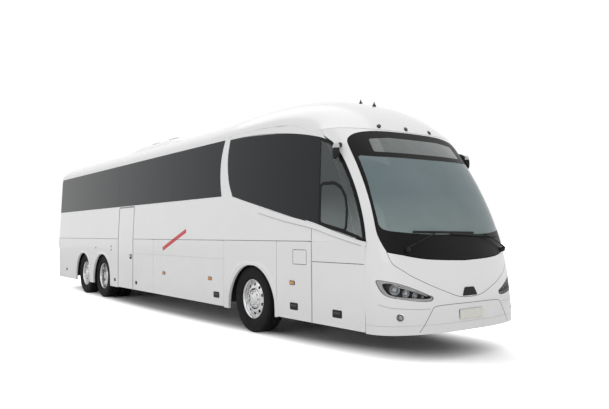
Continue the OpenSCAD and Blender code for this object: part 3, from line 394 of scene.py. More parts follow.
    def plate(self, x0, x1, z0, z1, r, place, thick, **rest):
        """Panel over a rectangle with rounded corners."""
        self.panel(fillet(box_line(x0, x1, z0, z1), r), place, thick, **rest)

    def strip(self, path, width, place, lift=-0.002, thick=0.002, slot=0):
        """Narrow band along a line on a surface."""
        if not isinstance(width, (list, tuple)):
            width = [width] * len(path)
        fine = [(*a, wa) for a, wa in zip(path[:1], width[:1])]
        for a, b, wa, wb in zip(path, path[1:], width, width[1:]):
            n = max(1, ceil(dist(a, b) / 0.04))
            fine += [(mix(a[0], b[0], j / n), mix(a[1], b[1], j / n), mix(wa, wb, j / n))
                     for j in range(1, n + 1)]
        path, width = [p[:2] for p in fine], [p[2] for p in fine]
        n = len(path)
        rows = []
        for k, p in enumerate(path):
            q, r = path[max(k - 1, 0)], path[min(k + 1, n - 1)]
            t = Vector((r[0] - q[0], r[1] - q[1])).normalized()
            w = width[k]
            a = (p[0] - t.y * w / 2, p[1] + t.x * w / 2)
            b = (p[0] + t.y * w / 2, p[1] - t.x * w / 2)
            rows.append([place(*a, lift + thick), place(*a, lift), place(*b, lift),
                         place(*b, lift + thick)])
        self.grid(rows, slot, round_columns=True)
        self.add([p for row in (rows[0], rows[-1]) for p in row], [[3, 2, 1, 0], [4, 5, 6, 7]], slot)

    def object(self, name, body, looks, slot, stands_for=(), sharp=35.0):
        """Welds the surfaces into one mesh and rides it on a body."""
        mesh = bpy.data.meshes.new(name)
        mesh.from_pydata(self.points, [], self.faces)
        mesh.polygons.foreach_set("material_index", self.slots)
        bm = bmesh.new()
        bm.from_mesh(mesh)
        bmesh.ops.remove_doubles(bm, verts=bm.verts, dist=2e-5)
        bmesh.ops.dissolve_degenerate(bm, dist=1e-6, edges=bm.edges)
        bmesh.ops.recalc_face_normals(bm, faces=bm.faces)
        bm.to_mesh(mesh)
        bm.free()
        mesh.shade_smooth()
        mesh.set_sharp_from_angle(angle=radians(sharp))
        for key in looks:
            mesh.materials.append(look(key))
        piece = bpy.data.objects.new(name, mesh)
        bpy.context.scene.collection.objects.link(piece)
        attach(piece, body)
        if stands_for:
            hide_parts(*stands_for)
        return piece


# ---- finishes ------------------------------------------------------------------------------
class Wires:
    """The nodes of a material or a world, added and joined in short calls."""

    def __init__(self, owner):
        owner.use_nodes = True
        self.nodes, self.links = owner.node_tree.nodes, owner.node_tree.links

    def feed(self, node, inputs):
        """Sets inputs to values, or joins them to the outputs that are given."""
        for socket, value in inputs.items():
            if isinstance(value, bpy.types.NodeSocket):
                self.links.new(value, node.inputs[socket])
            else:
                node.inputs[socket].default_value = value

    def add(self, kind, output, inputs=None, **settings):
        """Adds a node and gives one of its outputs."""
        node = self.nodes.new("ShaderNode" + kind)
        for name, value in settings.items():
            setattr(node, name, value)
        self.feed(node, inputs or {})
        return node.outputs[output]


def finish(key, colour, rough, worn=0.8, scale=6.0, amount=0.5, spread=0.08, grain=0.0, grain_scale=400.0,
           weave=0.0, stretch=(1, 1, 1), film=None, pane=None, **sockets):
    """A procedural finish: mottled colour, uneven gloss and a fine grain on a Principled shader.

    The colour may name one of the user's colours, and a second colour or a share of the first mottles it:
    random wear on most finishes, painted reflection blotches on the clear glass and the windscreen.
    A film fades between two heights: dust on the paint and the tyres, painted reflection low on the clear
    glass and the windscreen. A pane lets light through, less so edge on.
    """
    if isinstance(colour, str):
        colour = tuple(getattr(bpy.context.scene.coach_colours, colour))
    if isinstance(worn, float):
        worn = [c * worn for c in colour]
    mat = bpy.data.materials.new(key)
    wires = Wires(mat)
    shader = wires.nodes["Principled BSDF"]
    where = wires.add("TexCoord", "Object")
    stretched = wires.add("Mapping", "Vector", {"Vector": where, "Scale": stretch})
    mottle = wires.add("TexNoise", "Fac", {"Vector": stretched, "Scale": scale, "Detail": 5.0})
    share = wires.add("MapRange", "Result", {"Value": mottle, "From Min": 0.4, "From Max": 0.75,
                                             "To Max": amount})
    # Mottle with the second tone: random wear on most finishes, painted reflection blotches on the clear
    # glass and the windscreen.
    tint = wires.add("Mix", "Result", {"Factor": share, "A": (*colour, 1), "B": (*worn, 1)},
                     data_type="RGBA")
    if film:
        # Film colour: dust on the paint and the tyres, painted reflection of the ground low on the clear
        # glass and the windscreen.
        low, high, dust_and_reflection, most = film
        height = wires.add("SeparateXYZ", "Z", {"Vector": where})
        fade = wires.add("MapRange", "Result",
                         {"Value": height, "From Min": low, "From Max": high, "To Min": most,
                          "To Max": 0.0})
        uneven = wires.add("Math", "Value", {0: fade, 1: mottle}, operation="MULTIPLY")
        tint = wires.add("Mix", "Result", {"Factor": uneven, "A": tint, "B": (*dust_and_reflection, 1)}, data_type="RGBA")
    gloss = wires.add("MapRange", "Result", {"Value": mottle, "To Min": max(0.01, rough - spread),
                                             "To Max": min(1.0, rough + spread)})
    wires.feed(shader, {"Base Color": tint, "Roughness": gloss})
    if grain or weave:
        kind, waves = ("TexWave", {"Distortion": 2.0}) if weave else ("TexNoise", {})
        relief = wires.add(kind, "Fac", {"Vector": stretched, "Scale": grain_scale, **waves})
        bump = wires.add("Bump", "Normal", {"Height": relief, "Strength": grain or weave,
                                            "Distance": 0.002})
        wires.feed(shader, {"Normal": bump})
    if pane:
        least, most, bend = pane
        edge = wires.add("LayerWeight", "Fresnel", {"Blend": bend})
        alpha = wires.add("MapRange", "Result", {"Value": edge, "To Min": least, "To Max": most})
        wires.feed(shader, {"Alpha": alpha})
    wires.feed(shader, {socket.replace("_", " "): value for socket, value in sockets.items()})
    return mat


# Each look: name of its material, colour, roughness, and the rest of what finish takes.
LOOKS = {
    "paint": ("white_paint", "paint", 0.24, dict(worn=0.965, scale=1.3, spread=0.05, grain=0.03,
        grain_scale=220.0, film=(0.3, 1.0, (0.55, 0.53, 0.5), 0.38), Coat_Weight=0.5, Coat_Roughness=0.06)),
    "joint": ("joint_black", (0.035, 0.036, 0.038), 0.55, dict(grain=0.2)),
    # Back of the nose panels, which is the shell's inside, and their rims, which darken the gaps as painted
    # shade.
    "inner": ("shell_inside", (0.12, 0.12, 0.125), 0.7, dict(grain=0.25, grain_scale=120.0)),
    # Mid grey lines that stand for the shade along creases: painted crease shade.
    "crease": ("panel_crease", (0.5, 0.5, 0.51), 0.45, dict(grain=0.1)),
    "stripe": ("flank_stripe", "stripe", 0.26, dict(scale=3.0, amount=0.2)),
    "dark_glass": ("dark_glass", "glass", 0.035, dict(scale=0.7, amount=0.6, spread=0.02,
        Specular_IOR_Level=0.18)),
    # Dark tinted glass; its lighter blotches and the pale green-grey band low down are painted reflection.
    "clear_glass": ("clear_glass", (0.06, 0.073, 0.076), 0.03, dict(worn=(0.1, 0.12, 0.122), scale=1.4,
        spread=0.015, film=(1.45, 2.05, (0.42, 0.5, 0.48), 1.3), Specular_IOR_Level=0.7,
        pane=(0.55, 1.0, 0.45))),
    # Pale grey-green: partly the glass's tint, partly painted sky reflection; its lighter blotches and pale
    # low band are painted reflection of clouds and ground.
    "screen_glass": ("screen_glass", (0.19, 0.26, 0.275), 0.03, dict(worn=(0.25, 0.33, 0.345), scale=1.4,
        spread=0.015, film=(1.45, 2.05, (0.42, 0.5, 0.48), 1.0), Specular_IOR_Level=0.6,
        pane=(0.6, 1.0, 0.45))),
    "screen_edge": ("screen_border", (0.006, 0.006, 0.0065), 0.4, dict(scale=2.0, spread=0.05,
        Specular_IOR_Level=0.12)),
    "sign": ("sign_window", (0.075, 0.09, 0.088), 0.08, dict(worn=(0.11, 0.125, 0.12), scale=4.0,
        amount=0.8, spread=0.03, Coat_Weight=0.5)),
    "lens": ("lamp_cover", (0.06, 0.062, 0.066), 0.05, dict(scale=9.0, spread=0.03, Specular_IOR_Level=0.6,
        pane=(0.06, 0.7, 0.3))),
    "bowl": ("lamp_reflector", (0.78, 0.79, 0.8), 0.16, dict(scale=30.0, spread=0.08, Metallic=1.0)),
    "bulb": ("lamp_glass", (0.72, 0.76, 0.8), 0.06, dict(scale=20.0, Specular_IOR_Level=0.8,
        Coat_Weight=0.8)),
    "bezel": ("lamp_bezel", (0.8, 0.8, 0.79), 0.3, dict(worn=(0.5, 0.5, 0.49), scale=14.0, grain=0.05,
        Coat_Weight=0.5)),
    "fog": ("fog_lamp_glass", (0.3, 0.31, 0.33), 0.1, dict(worn=(0.55, 0.56, 0.58), scale=30.0, weave=0.5,
        grain_scale=60.0, Coat_Weight=0.8)),
    "lamp_dark": ("lamp_housing", (0.006, 0.006, 0.007), 0.35, dict(grain=0.1, scale=12.0)),
    "red_lens": ("red_lens", (0.36, 0.012, 0.014), 0.12, dict(worn=(0.22, 0.005, 0.006), scale=25.0,
        weave=0.5, grain_scale=30.0, Coat_Weight=0.7)),
    "amber_lens": ("amber_lens", (0.62, 0.26, 0.05), 0.16, dict(worn=(0.42, 0.15, 0.02), scale=30.0,
        weave=0.5, grain_scale=40.0, Coat_Weight=0.6)),
    "plate": ("blank_plate", (0.72, 0.72, 0.66), 0.35, dict(scale=14.0, amount=0.35, grain=0.08)),
    "trim": ("black_trim", (0.007, 0.007, 0.008), 0.48, dict(worn=(0.018, 0.018, 0.019), scale=18.0,
        grain=0.3, Specular_IOR_Level=0.25)),
    # Pale grey: the air unit's slats, and the painted highlight on the camera pods' tops.
    "pod_cap": ("pod_cap", (0.55, 0.55, 0.54), 0.35, dict(scale=12.0, grain=0.1)),
    "chrome": ("wheel_chrome", (0.74, 0.745, 0.755), 0.13, dict(worn=(0.5, 0.5, 0.49), scale=16.0,
        amount=0.6, spread=0.07, grain=0.03, Metallic=1.0)),
    "bright": ("bright_strip", (0.68, 0.69, 0.7), 0.2, dict(scale=10.0, stretch=(1, 8, 8), Metallic=1.0)),
    # Near black standing for shade: the groove ring of the rims and the space behind the engine grille.
    "hole": ("wheel_recess", (0.03, 0.03, 0.031), 0.6, dict(scale=12.0, grain=0.3)),
    "tyre": ("tyre_rubber", (0.006, 0.006, 0.0065), 0.78, dict(worn=(0.016, 0.0155, 0.015), scale=9.0,
        amount=0.8, grain=0.5, grain_scale=170.0, film=(0.0, 0.1, (0.05, 0.048, 0.044), 0.6),
        Specular_IOR_Level=0.22)),
    "chassis": ("chassis_black", (0.03, 0.03, 0.032), 0.55, dict(worn=(0.075, 0.06, 0.05), scale=5.0,
        grain=0.3, grain_scale=90.0)),
    "axle": ("axle_black", (0.028, 0.028, 0.03), 0.6, dict(worn=(0.09, 0.07, 0.055), scale=9.0, grain=0.5,
        grain_scale=80.0)),
    "cast": ("cast_metal", (0.17, 0.17, 0.175), 0.62, dict(worn=(0.1, 0.085, 0.07), scale=8.0, grain=0.8,
        grain_scale=60.0, Metallic=0.6)),
    "steel": ("arm_steel", (0.5, 0.51, 0.52), 0.32, dict(scale=20.0, stretch=(1, 1, 6), grain=0.15,
        Metallic=1.0)),
    "floor": ("floor_covering", (0.09, 0.095, 0.105), 0.75, dict(worn=(0.2, 0.2, 0.21), scale=160.0,
        amount=0.7, grain=0.3)),
    "lining": ("hold_lining", (0.2, 0.2, 0.21), 0.85, dict(worn=(0.12, 0.12, 0.125), scale=60.0,
        grain=0.8)),
    "housing": ("housing_black", (0.016, 0.016, 0.017), 0.85, dict(worn=(0.05, 0.047, 0.042), scale=6.0,
        grain=0.6, grain_scale=70.0)),
    "fabric": ("seat_fabric", (0.05, 0.055, 0.12), 0.85, dict(worn=(0.14, 0.1, 0.13), scale=26.0,
        amount=0.9, weave=0.6, grain_scale=180.0, Sheen_Weight=0.5)),
    "cab_fabric": ("cab_seat_fabric", (0.025, 0.025, 0.028), 0.85, dict(worn=(0.06, 0.06, 0.065),
        scale=40.0, amount=0.8, weave=0.6, grain_scale=200.0, Sheen_Weight=0.4)),
    "frame": ("seat_frame_grey", (0.12, 0.12, 0.125), 0.5, dict(scale=14.0, grain=0.4)),
    "rack": ("rack_grey", (0.35, 0.35, 0.35), 0.5, dict(scale=10.0, grain=0.4)),
    "dash": ("dash_plastic", (0.035, 0.035, 0.038), 0.6, dict(scale=10.0, grain=0.9, grain_scale=350.0)),
    "ceiling": ("cabin_lining", (0.5, 0.5, 0.49), 0.85, dict(scale=30.0, grain=0.6, grain_scale=250.0)),
}
CARRIED = {
    "paint": ("right_skirt", "left_skirt", "right_upper_wall", "left_upper_wall", "rear_wall",
              "rear_bumper", "engine_door", "centre_door", "right_rear_locker_door",
              "right_long_locker_door", "right_front_locker_door", "driver_locker_door",
              "left_rear_locker_door", "left_long_locker_door"),
    "chassis": ("chassis_frame",),
    "floor": ("passenger_floor", "cab_floor"),
    "lining": ("luggage_hold",),
    "housing": ("wheel_housings",),
    "axle": ("front_axle", "drive_axle", "tag_axle", "right_knuckle", "left_knuckle"),
    "cast": ("engine_block",),
    "steel": ("centre_door_arms", "front_door_arms"),
    "frame": ("passenger_seat_frames",),
    "rack": ("luggage_racks",),
    "dash": ("dashboard",),
    "trim": ("steering_wheel",),
}
COATS = {}


def look(key):
    """The finish under a key, made when it is first asked for."""
    if key not in COATS:
        name, colour, rough, rest = LOOKS[key]
        COATS[key] = finish(name, colour, rough, **rest)
    return COATS[key]


# ---- sizes and colours that a user would change --------------------------------------------
def colour(name, description, default):
    return bpy.props.FloatVectorProperty(name=name, description=description, subtype="COLOR", size=3,
                                         min=0.0, max=1.0, default=default)


def length(name, description, default, low=0.0, high=1.0):
    return bpy.props.FloatProperty(name=name, description=description, unit="LENGTH", min=low, max=high,
                                   default=default, precision=4)


class CoachColours(bpy.types.PropertyGroup):
    """Colours of the skin"""
    paint: colour("Body paint", "Colour of the painted panels", (0.8, 0.8, 0.805))
    glass: colour("Side glass", "Colour of the dark side windows", (0.007, 0.0095, 0.0125))
    stripe: colour("Stripe", "Colour of the slanted stripe on the flank", (0.6, 0.02, 0.03))


class CoachSkin(bpy.types.PropertyGroup):
    """Sizes of the skin"""
    gap: length("Panel gap", "Half the gap between two panels of the nose", 0.003, 0.001, 0.02)
    glass_rise: length("Glass rise", "How far the bonded side glass stands off the wall", 0.003, 0.0, 0.01)
    lip_width: length("Arch lip", "Width of the raised lip round each wheel arch", 0.055, 0.01, 0.09)
    lip_rise: length("Arch lip rise", "How far the arch lip stands out", 0.008, 0.0, 0.02)
    mesh_pitch: length("Mesh pitch", "Distance between the points of the skin", 0.06, 0.02, 0.2)


class CoachWheels(bpy.types.PropertyGroup):
    """Details of the wheels"""
    hand_holes: bpy.props.IntProperty(name="Hand holes", description="Hand holes in a rim", default=10,
                                      min=6, max=14)
    hole_size: length("Hole radius", "Radius of a hand hole", 0.027, 0.01, 0.035)
    studs: bpy.props.IntProperty(name="Studs", description="Wheel nuts on a hub", default=10, min=6, max=12)
    groove_depth: length("Tread groove", "Depth of the grooves of the tread", 0.012, 0.002, 0.02)


class CoachStage(bpy.types.PropertyGroup):
    """Light and camera"""
    floor: colour("Floor", "Colour of the floor", (0.92, 0.92, 0.92))
    sky: bpy.props.FloatProperty(name="Sky light", description="Strength of the even light from all round",
                                 default=0.72, min=0.0, max=2.0)
    lens: bpy.props.FloatProperty(name="Lens", description="Focal length of the camera in millimetres",
                                  default=37.17, min=20.0, max=120.0)


class Build:
    """Shared by the operators that build a piece"""
    bl_options = {"REGISTER", "UNDO"}

    def execute(self, context):
        self.build(context.scene)
        return {"FINISHED"}


# ---- roof ----------------------------------------------------------------------------------
def dome_point(u, y, d=0.0):
    ring = dome_ring(u)
    w = side_y(ring[1] - ring[3] * sin(ring[2]))
    return ring_point(ring, copysign(asin(min(1.0, abs(y) / w) ** (ring[4] / 2)), y), d)


def roof_point(x, y, d=0.0):
    return ring_point(roof_ring(x), asin(max(-1.0, min(1.0, y / side_y(CANT)))), d)


class COACH_OT_roof(Build, bpy.types.Operator):
    """Roof skin from the dome over the windscreen to the tail"""
    bl_idname = "coach.roof"
    bl_label = "Roof skin"

    def build(self, scene):
        rings = [dome_ring(u) for u in spread(0.002, 1.0, 34)]
        rings += [roof_ring(x) for x in spread(DOME_X - 0.3, TAIL + 0.6, 24)]
        rings += [roof_ring(TAIL + 0.6 - 0.54 * sin(pi / 24 * k)) for k in range(1, 13)]
        angles = [t * pi / 2 for t in spread(-1.0, 1.0, 72)]
        rows = [[ring_point(r, a) for a in angles] + [ring_point(r, a, 0.04) for a in reversed(angles)]
                for r in rings]
        skin = Mould()
        n = len(angles)
        slots = ([0] * (n - 1) + [1] * (n + 1)) * (len(rows) - 1)
        skin.grid(rows, slots, round_columns=True)
        skin.close_ends(rows, 1)
        skin.object("roof_skin", "body", ("paint", "ceiling"), "white_paint", ("roof",), sharp=28)


class COACH_OT_roof_fittings(Build, bpy.types.Operator):
    """Air unit, roof hatches, aerials and the marker lamps over the windscreen"""
    bl_idname = "coach.roof_fittings"
    bl_label = "Roof fittings"

    def build(self, scene):
        low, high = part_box("roof_air_unit")
        unit = Mould()
        rows = []
        for x, k in zip([low.x, low.x + 0.02, low.x + 0.1, low.x + 0.35, high.x - 0.35, high.x - 0.1,
                         high.x - 0.02, high.x],
                        [0.0, 0.35, 0.72, 1.0, 1.0, 0.72, 0.35, 0.0]):
            row = []
            for t in spread(-1.0, 1.0, 24):
                y = high.y * 0.995 * copysign(abs(t) ** 0.8, t)
                base = roof_point(x, y, 0.0).z
                rise = (high.z - 0.06 - ROOF) * k * (1 - abs(t) ** 5)
                row.append(Vector((x, y, base + 0.002 + rise)))
            rows.append(row + [Vector((p.x, p.y, roof_point(p.x, p.y, 0.03).z)) for p in reversed(row)])
        unit.grid(rows, 0, round_columns=True)
        unit.close_ends(rows, 0)
        for x in spread(low.x + 0.5, low.x + 0.86, 9) + spread(high.x - 0.86, high.x - 0.5, 9):
            unit.block((x, -0.42, high.z - 0.068), (x + 0.02, 0.42, high.z - 0.057), 0.003, 1)
        unit.object("air_unit_cover", "body", ("paint", "pod_cap"), "white_paint", ("roof_air_unit",))
        tops = Mould()
        for x in (1.9, -4.6):
            line = fillet([(x - 0.36, -0.36), (x + 0.36, -0.36), (x + 0.36, 0.36), (x - 0.36, 0.36)], 0.08)
            tops.panel(line, roof_point, 0.02, lift=-0.016, pitch=0.09, slots=0)
            tops.panel(grown(line, 0.018), roof_point, 0.008, lift=-0.005, pitch=0.12, slots=1)
        tops.object("roof_hatches", "body", ("paint", "trim"), "white_paint")
        aerials = Mould()
        for x in (4.95, 5.26):
            u = min(spread(0.0, 1.0, 200), key=lambda t: abs(dome_at(t).x - x))
            base = dome_point(u, 0.0)
            aerials.lathe([(0.0, -0.01), (0.03, -0.005), (0.028, 0.012), (0.012, 0.03), (0.006, 0.06),
                           (0.0, 0.062)],
                          base, (0, 0, 1), 20, 0)
        aerials.object("roof_aerials", "body", ("trim",), "black_plastic")
        lamps = Mould()
        for y in (-0.5, 0.0, 0.5):
            p, q = dome_point(0.03, y), dome_point(0.03, y, 0.02)
            lamps.lathe([(0.0, -0.006), (0.036, -0.006), (0.038, 0.004), (0.03, 0.013), (0.016, 0.018),
                         (0.0, 0.019)],
                        p, p - q, 24, 0, shape=lambda k, r, h: r * 0.25 * cos(4 * pi * k / 24))
        lamps.object("marker_lamps", "body", ("lamp_dark",), "black_plastic")


# ---- nose ----------------------------------------------------------------------------------
SCREEN_FOOT = [(0, 1.197), (16, 1.214), (30, 1.238), (44.5, 1.283), (51, 1.3), (57.3, 1.317)]
SCREEN_SIDE = [(58.2, 1.328), (60.8, 1.41), (63.4, 1.52), (63.8, 1.62), (63.2, 1.78), (62.4, 2.0),
               (61.8, 2.4), (61.6, 2.66), (60, 2.755), (54, 2.82), (43, 2.875), (24, 2.915), (0, 2.925)]
FLAP_HALF = [(58, 1.31), (54.6, 1.175), (46, 1.09), (39, 1.02), (31, 0.955), (22, 0.88), (15, 0.825),
             (9, 0.775), (4.5, 0.745), (0, 0.737)]
LAMP_LINE = [(74.2, 0.972), (67, 0.974), (58, 0.955), (50, 0.93), (39.3, 0.875), (28.8, 0.8), (24.5, 0.765),
             (26, 0.722), (34, 0.722), (45, 0.745), (56, 0.768), (64, 0.794), (69.5, 0.84), (73, 0.91)]
RECESS = [(68, 0.934), (58, 0.935), (47, 0.89), (34, 0.82), (26, 0.772), (29, 0.748), (42, 0.764),
          (56, 0.789), (64, 0.83)]
REAR_OF_PILLAR = [(78.6, 1.431), (76.3, 1.593), (75.1, 1.791), (74.3, 2.062), (74.6, 2.309), (76, 2.548),
                  (81, 2.743), (89.9, 2.86)]


def screen_line(grow=0.0):
    half = curve(nose_line(SCREEN_FOOT), 3) + curve(nose_line(SCREEN_SIDE), 3)
    return grown(half[:-1] + [(-s, z) for s, z in reversed(half[1:])], grow)


def flap_line(grow=0.0, top=0.0):
    half = curve(nose_line(FLAP_HALF), 3)
    lower = half[:-1] + [(-s, z) for s, z in reversed(half)]
    rim = curve(nose_line(SCREEN_FOOT), 3)
    upper = [(-s, z - 0.008 + top) for s, z in reversed(rim[1:])] + [(s, z - 0.008 + top) for s, z in rim]
    return grown(lower + [p for p in upper if abs(p[0]) < arc(57.3)], grow)


def lamp_line(side, grow=0.0):
    line = [(side * arc(a), z) for a, z in LAMP_LINE]
    return grown(curve(line, 4, closed=True), grow)


class COACH_OT_nose(Build, bpy.types.Operator):
    """Painted moulding round the windscreen, the front flap below it, the bumper's joints and the grey
    painted shade along its creases
    """
    bl_idname = "coach.nose"
    bl_label = "Nose moulding"

    def build(self, scene):
        gap = scene.coach_skin.gap
        side = [(89.9, 0.333), (89.9, 1.431)] + REAR_OF_PILLAR + [(89.9, 2.9385)]
        outline = mirrored([(arc(a), z) for a, z in side])
        holes = [screen_line(gap), flap_line(gap, 0.06)]
        holes += [lamp_line(s, gap) for s in (-1, 1)]
        holes += [disc_line(s * arc(52.5), 0.54, 0.047) for s in (-1, 1)]
        skin = Mould()
        # Its back is the inside of the shell; its dark rim darkens the panel gaps as painted shade.
        skin.panel(outline, on_nose, 0.022, holes, pitch=scene.coach_skin.mesh_pitch)
        skin.object("nose_moulding", "body", ("paint", "inner"), "white_paint",
                    ("front_bumper", "lamp_panel", "front_corner_panels"))
        flap = Mould()
        cover = mirrored([(arc(3.6), 0.752), (arc(2.0), 0.857)])
        flap.panel(flap_line(-gap), on_nose, 0.022, pitch=0.05)
        flap.object("flap_skin", "body", ("paint", "inner"), "white_paint", ("front_flap",))
        lid = Mould()
        lid.panel(fillet(cover, 0.02), on_nose, 0.014, lift=-0.006, pitch=0.04)
        lid.object("tow_cover", "body", ("trim", "trim"), "black_plastic")
        joints = Mould()
        cover_half = nose_line([(37, 0.345), (36, 0.368), (33, 0.426), (28.3, 0.542), (24.8, 0.64),
                                (21.7, 0.657), (12.4, 0.664), (0, 0.672)])
        half = fillet(cover_half, 0.03)[5:-5]
        joints.strip(half + [(-s, z) for s, z in reversed(half)], 0.006, on_nose, -0.0008, 0.004)
        # Grey lines along the bumper's lip and its ledge below the headlamps: painted crease shade.
        around = [(arc(a), 0.44) for a in (89.5, *range(85, -86, -5), -89.5)]
        joints.strip(around, 0.005, on_nose, *NOSE_SEAM, 1)
        for s in (-1, 1):
            crease = [(s * arc(a), z) for a, z in ((74, 0.69), (61, 0.654), (48, 0.64), (35, 0.63),
                                                   (27, 0.628))]
            joints.strip(crease, 0.009, on_nose, *NOSE_SEAM, 1)
        joints.object("bumper_joints", "body", ("joint", "crease"), "black_plastic")
        plate = Mould()
        flat = lambda y, z, d=0.0: Vector((NOSE - 0.0015 - d - 0.05 * y * y, y, z))
        plate.plate(-0.222, 0.222, 0.472, 0.59, 0.012, flat, 0.012, lift=-0.006, pitch=0.05,
                    slots=(0, 1, 1))
        plate.object("front_plate", "body", ("plate", "trim"), "black_plastic")


class COACH_OT_screen(Build, bpy.types.Operator):
    """Windscreen with its black border, sign window and wipers"""
    bl_idname = "coach.screen"
    bl_label = "Windscreen"

    def build(self, scene):
        half = curve(nose_line([(0, 1.515), (20, 1.52), (40, 1.548), (54, 1.575), (59.2, 1.625),
                                (59.8, 1.72), (59, 2.0), (57.5, 2.2), (56.6, 2.45), (55, 2.535), (40, 2.53),
                                (0, 2.525)]), 3)
        clear = half[:-1] + [(-s, z) for s, z in reversed(half[1:])]
        sign = mirrored(nose_line([(38, 2.6), (36.5, 2.785), (18, 2.82)]))
        screen = Mould()
        screen.panel(screen_line(0.0), on_nose, 0.008, zones=((clear, 2), (fillet(sign, 0.03), 3)),
                     pitch=0.05, slots=(0, 1, 1))
        screen.object("windscreen_glass", "body", ("screen_edge", "joint", "screen_glass", "sign"),
                      "windscreen_glass", ("windscreen",))
        blades = Mould()
        for foot, knee, tips in (((-38.7, 1.355), (-15, 1.525), ((-31, 1.548), (9, 1.53))),
                                 ((44, 1.32), (18, 1.5), ((37, 1.475), (-4, 1.522)))):
            (a, b), (c, d) = ((arc(q[0]), q[1]) for q in (foot, knee))
            run = [(mix(a, c, t), mix(b, d, t)) for t in spread(0, 1, 10)]
            blades.tube([on_nose(*q, -0.045) for q in run], [0.014] * 3 + [0.009] * 8, 8, 0, 0.7)
            (e, f), (g, h) = ((arc(q[0]), q[1]) for q in tips)
            blades.tube([on_nose(mix(e, g, t), mix(f, h, t), -0.016) for t in spread(0, 1, 20)], 0.009, 6,
                        0, 1.7)
            blades.tube([on_nose(c, d, -0.047), on_nose(c, d, -0.016)], 0.01, 8)
            p, q = on_nose(a, b - 0.02, 0.01), on_nose(a, b - 0.02, -0.05)
            blades.lathe([(0, 0), (0.034, 0), (0.034, 0.045), (0.02, 0.062), (0, 0.064)], p, q - p, 20)
            blades.tube([q, on_nose(a, b, -0.045)], 0.014, 8)
        blades.object("wiper_arms", "body", ("trim",), "black_plastic", ("wipers",))


class COACH_OT_head_lamps(Build, bpy.types.Operator):
    """Headlamps under their covers, and the round lamps in the bumper"""
    bl_idname = "coach.head_lamps"
    bl_label = "Headlamps"

    def build(self, scene):
        lamps = Mould()
        for s in (-1, 1):
            lamps.panel(lamp_line(s, -0.003), on_nose, 0.003, lift=0.001, pitch=0.04, slots=0)
            recess = curve([(s * arc(a), z) for a, z in RECESS], 4, closed=True)
            lamps.panel(lamp_line(s, -0.001), on_nose, 0.006, holes=(recess,), lift=0.012, pitch=0.03,
                        slots=(4, 1, 1))
            lamps.grid([[on_nose(*p, 0.0), on_nose(*p, 0.014)] for p in lamp_line(s, 0.0015)], 1,
                       round_rows=True)
            lamps.grid([[on_nose(*p, 0.012), on_nose(*p, 0.11)] for p in recess], 1, round_rows=True)
            lamps.panel(recess, on_nose, 0.006, lift=0.105, pitch=0.06, slots=1)
            for a, z, r in ((58, 0.868, 0.058), (47.5, 0.822, 0.042), (39.5, 0.795, 0.03),
                            (33, 0.776, 0.018)):
                p = on_nose(s * arc(a), z, 0.075)
                ahead = (on_nose(s * arc(a), z, 0.0) - p).normalized() * 0.5 + Vector((0.5, 0, 0))
                lamps.lathe([(0.008, -0.01), (r * 0.7, 0.004), (r * 0.95, 0.03), (r, 0.042),
                             (r * 1.05, 0.042), (r * 1.05, 0.03), (r * 0.9, -0.012),
                             (0.008, -0.02)], p, ahead, 36, 2, closed=True)
                lamps.lathe([(0, 0.05), (r * 0.36, 0.043), (r * 0.55, 0.024), (r * 0.58, 0.01),
                             (0, 0.008)], p, ahead, 28, 3)
            slit = curve([(s * arc(a), z) for a, z in ((52, 0.9), (43, 0.862), (34, 0.815),
                                                       (28.5, 0.783))], 4)
            lamps.strip(slit, 0.008, on_nose, 0.03, 0.04, 2)
            p, q = on_nose(s * arc(52.5), 0.54, 0.03), on_nose(s * arc(52.5), 0.54, 0.0)
            lamps.lathe([(0.036, 0.0), (0.0465, 0.005), (0.0465, 0.033), (0.042, 0.035), (0.036, 0.012)],
                        p, q - p, 36, 2, closed=True)
            lamps.lathe([(0, 0.026), (0.018, 0.024), (0.036, 0.012), (0.036, -0.02), (0, -0.03)], p, q - p,
                        36, 5)
        lamps.object("head_lamps", "body", ("lens", "lamp_dark", "bowl", "bulb", "bezel", "fog"),
                     "clear_lens", ("front_lamps",))


# ---- sides ---------------------------------------------------------------------------------
CAB_TOP = [(3.045, 3.1), (3.634, 3.081), (4.486, 3.016), (4.991, 2.947), (5.452, 2.85), (5.68, 2.775)]
CAB_FRONT = [(5.751, 2.743), (5.931, 2.548), (6.092, 2.309), (6.229, 2.062), (6.344, 1.791),
             (6.406, 1.593), (6.44, 1.44)]
CAB_FOOT = [(5.563, 1.642), (4.871, 1.778), (4.079, 1.949), (3.2, 2.14)]
CAB_REAR = [(3.186, 2.147), (3.06, 2.36), (2.995, 2.62), (2.99, 2.86), (3.045, 3.1)]
CLEAR_X = 5.5
GLASS_FOOT, GLASS_TOP, GLASS_REAR = 2.168, 3.118, -6.875
GLASS_JOINTS, JOINT_HALF = (-2.11, 0.85), 0.003


def cab_line():
    foot = curve([(6.44, 1.44), (6.0, 1.548)] + CAB_FOOT, 3)
    rear = curve(CAB_REAR, 3)
    top = curve(CAB_TOP, 3)
    front = curve([CAB_TOP[-1]] + CAB_FRONT, 3)
    return foot[:-1] + rear[:-1] + top[:-1] + front[:-1]


def clipped(line, x, keep_ahead):
    """The part of an outline ahead of or behind a plane across the coach."""
    out = []
    for a, b in zip(line, line[1:] + line[:1]):
        if (a[0] >= x) == keep_ahead:
            out.append(a)
        if (a[0] >= x) != (b[0] >= x):
            out.append((x, mix(a[1], b[1], (x - a[0]) / (b[0] - a[0]))))
    return out


DOOR_X0, DOOR_X1, DOOR_TOP = 5.367, 6.3, 2.45


def door_line(grow=0.0):
    """Edge of the front door as it is seen from the left."""
    zs = spread(1.45, DOOR_TOP, 8)
    nose = [(face_x(z) - face_depth(z) - 0.007, z) for z in zs]
    return grown([(DOOR_X0, DOOR_TOP), (DOOR_X0, 0.345), (DOOR_X1, 0.345), (DOOR_X1, 1.315)] + nose, grow)


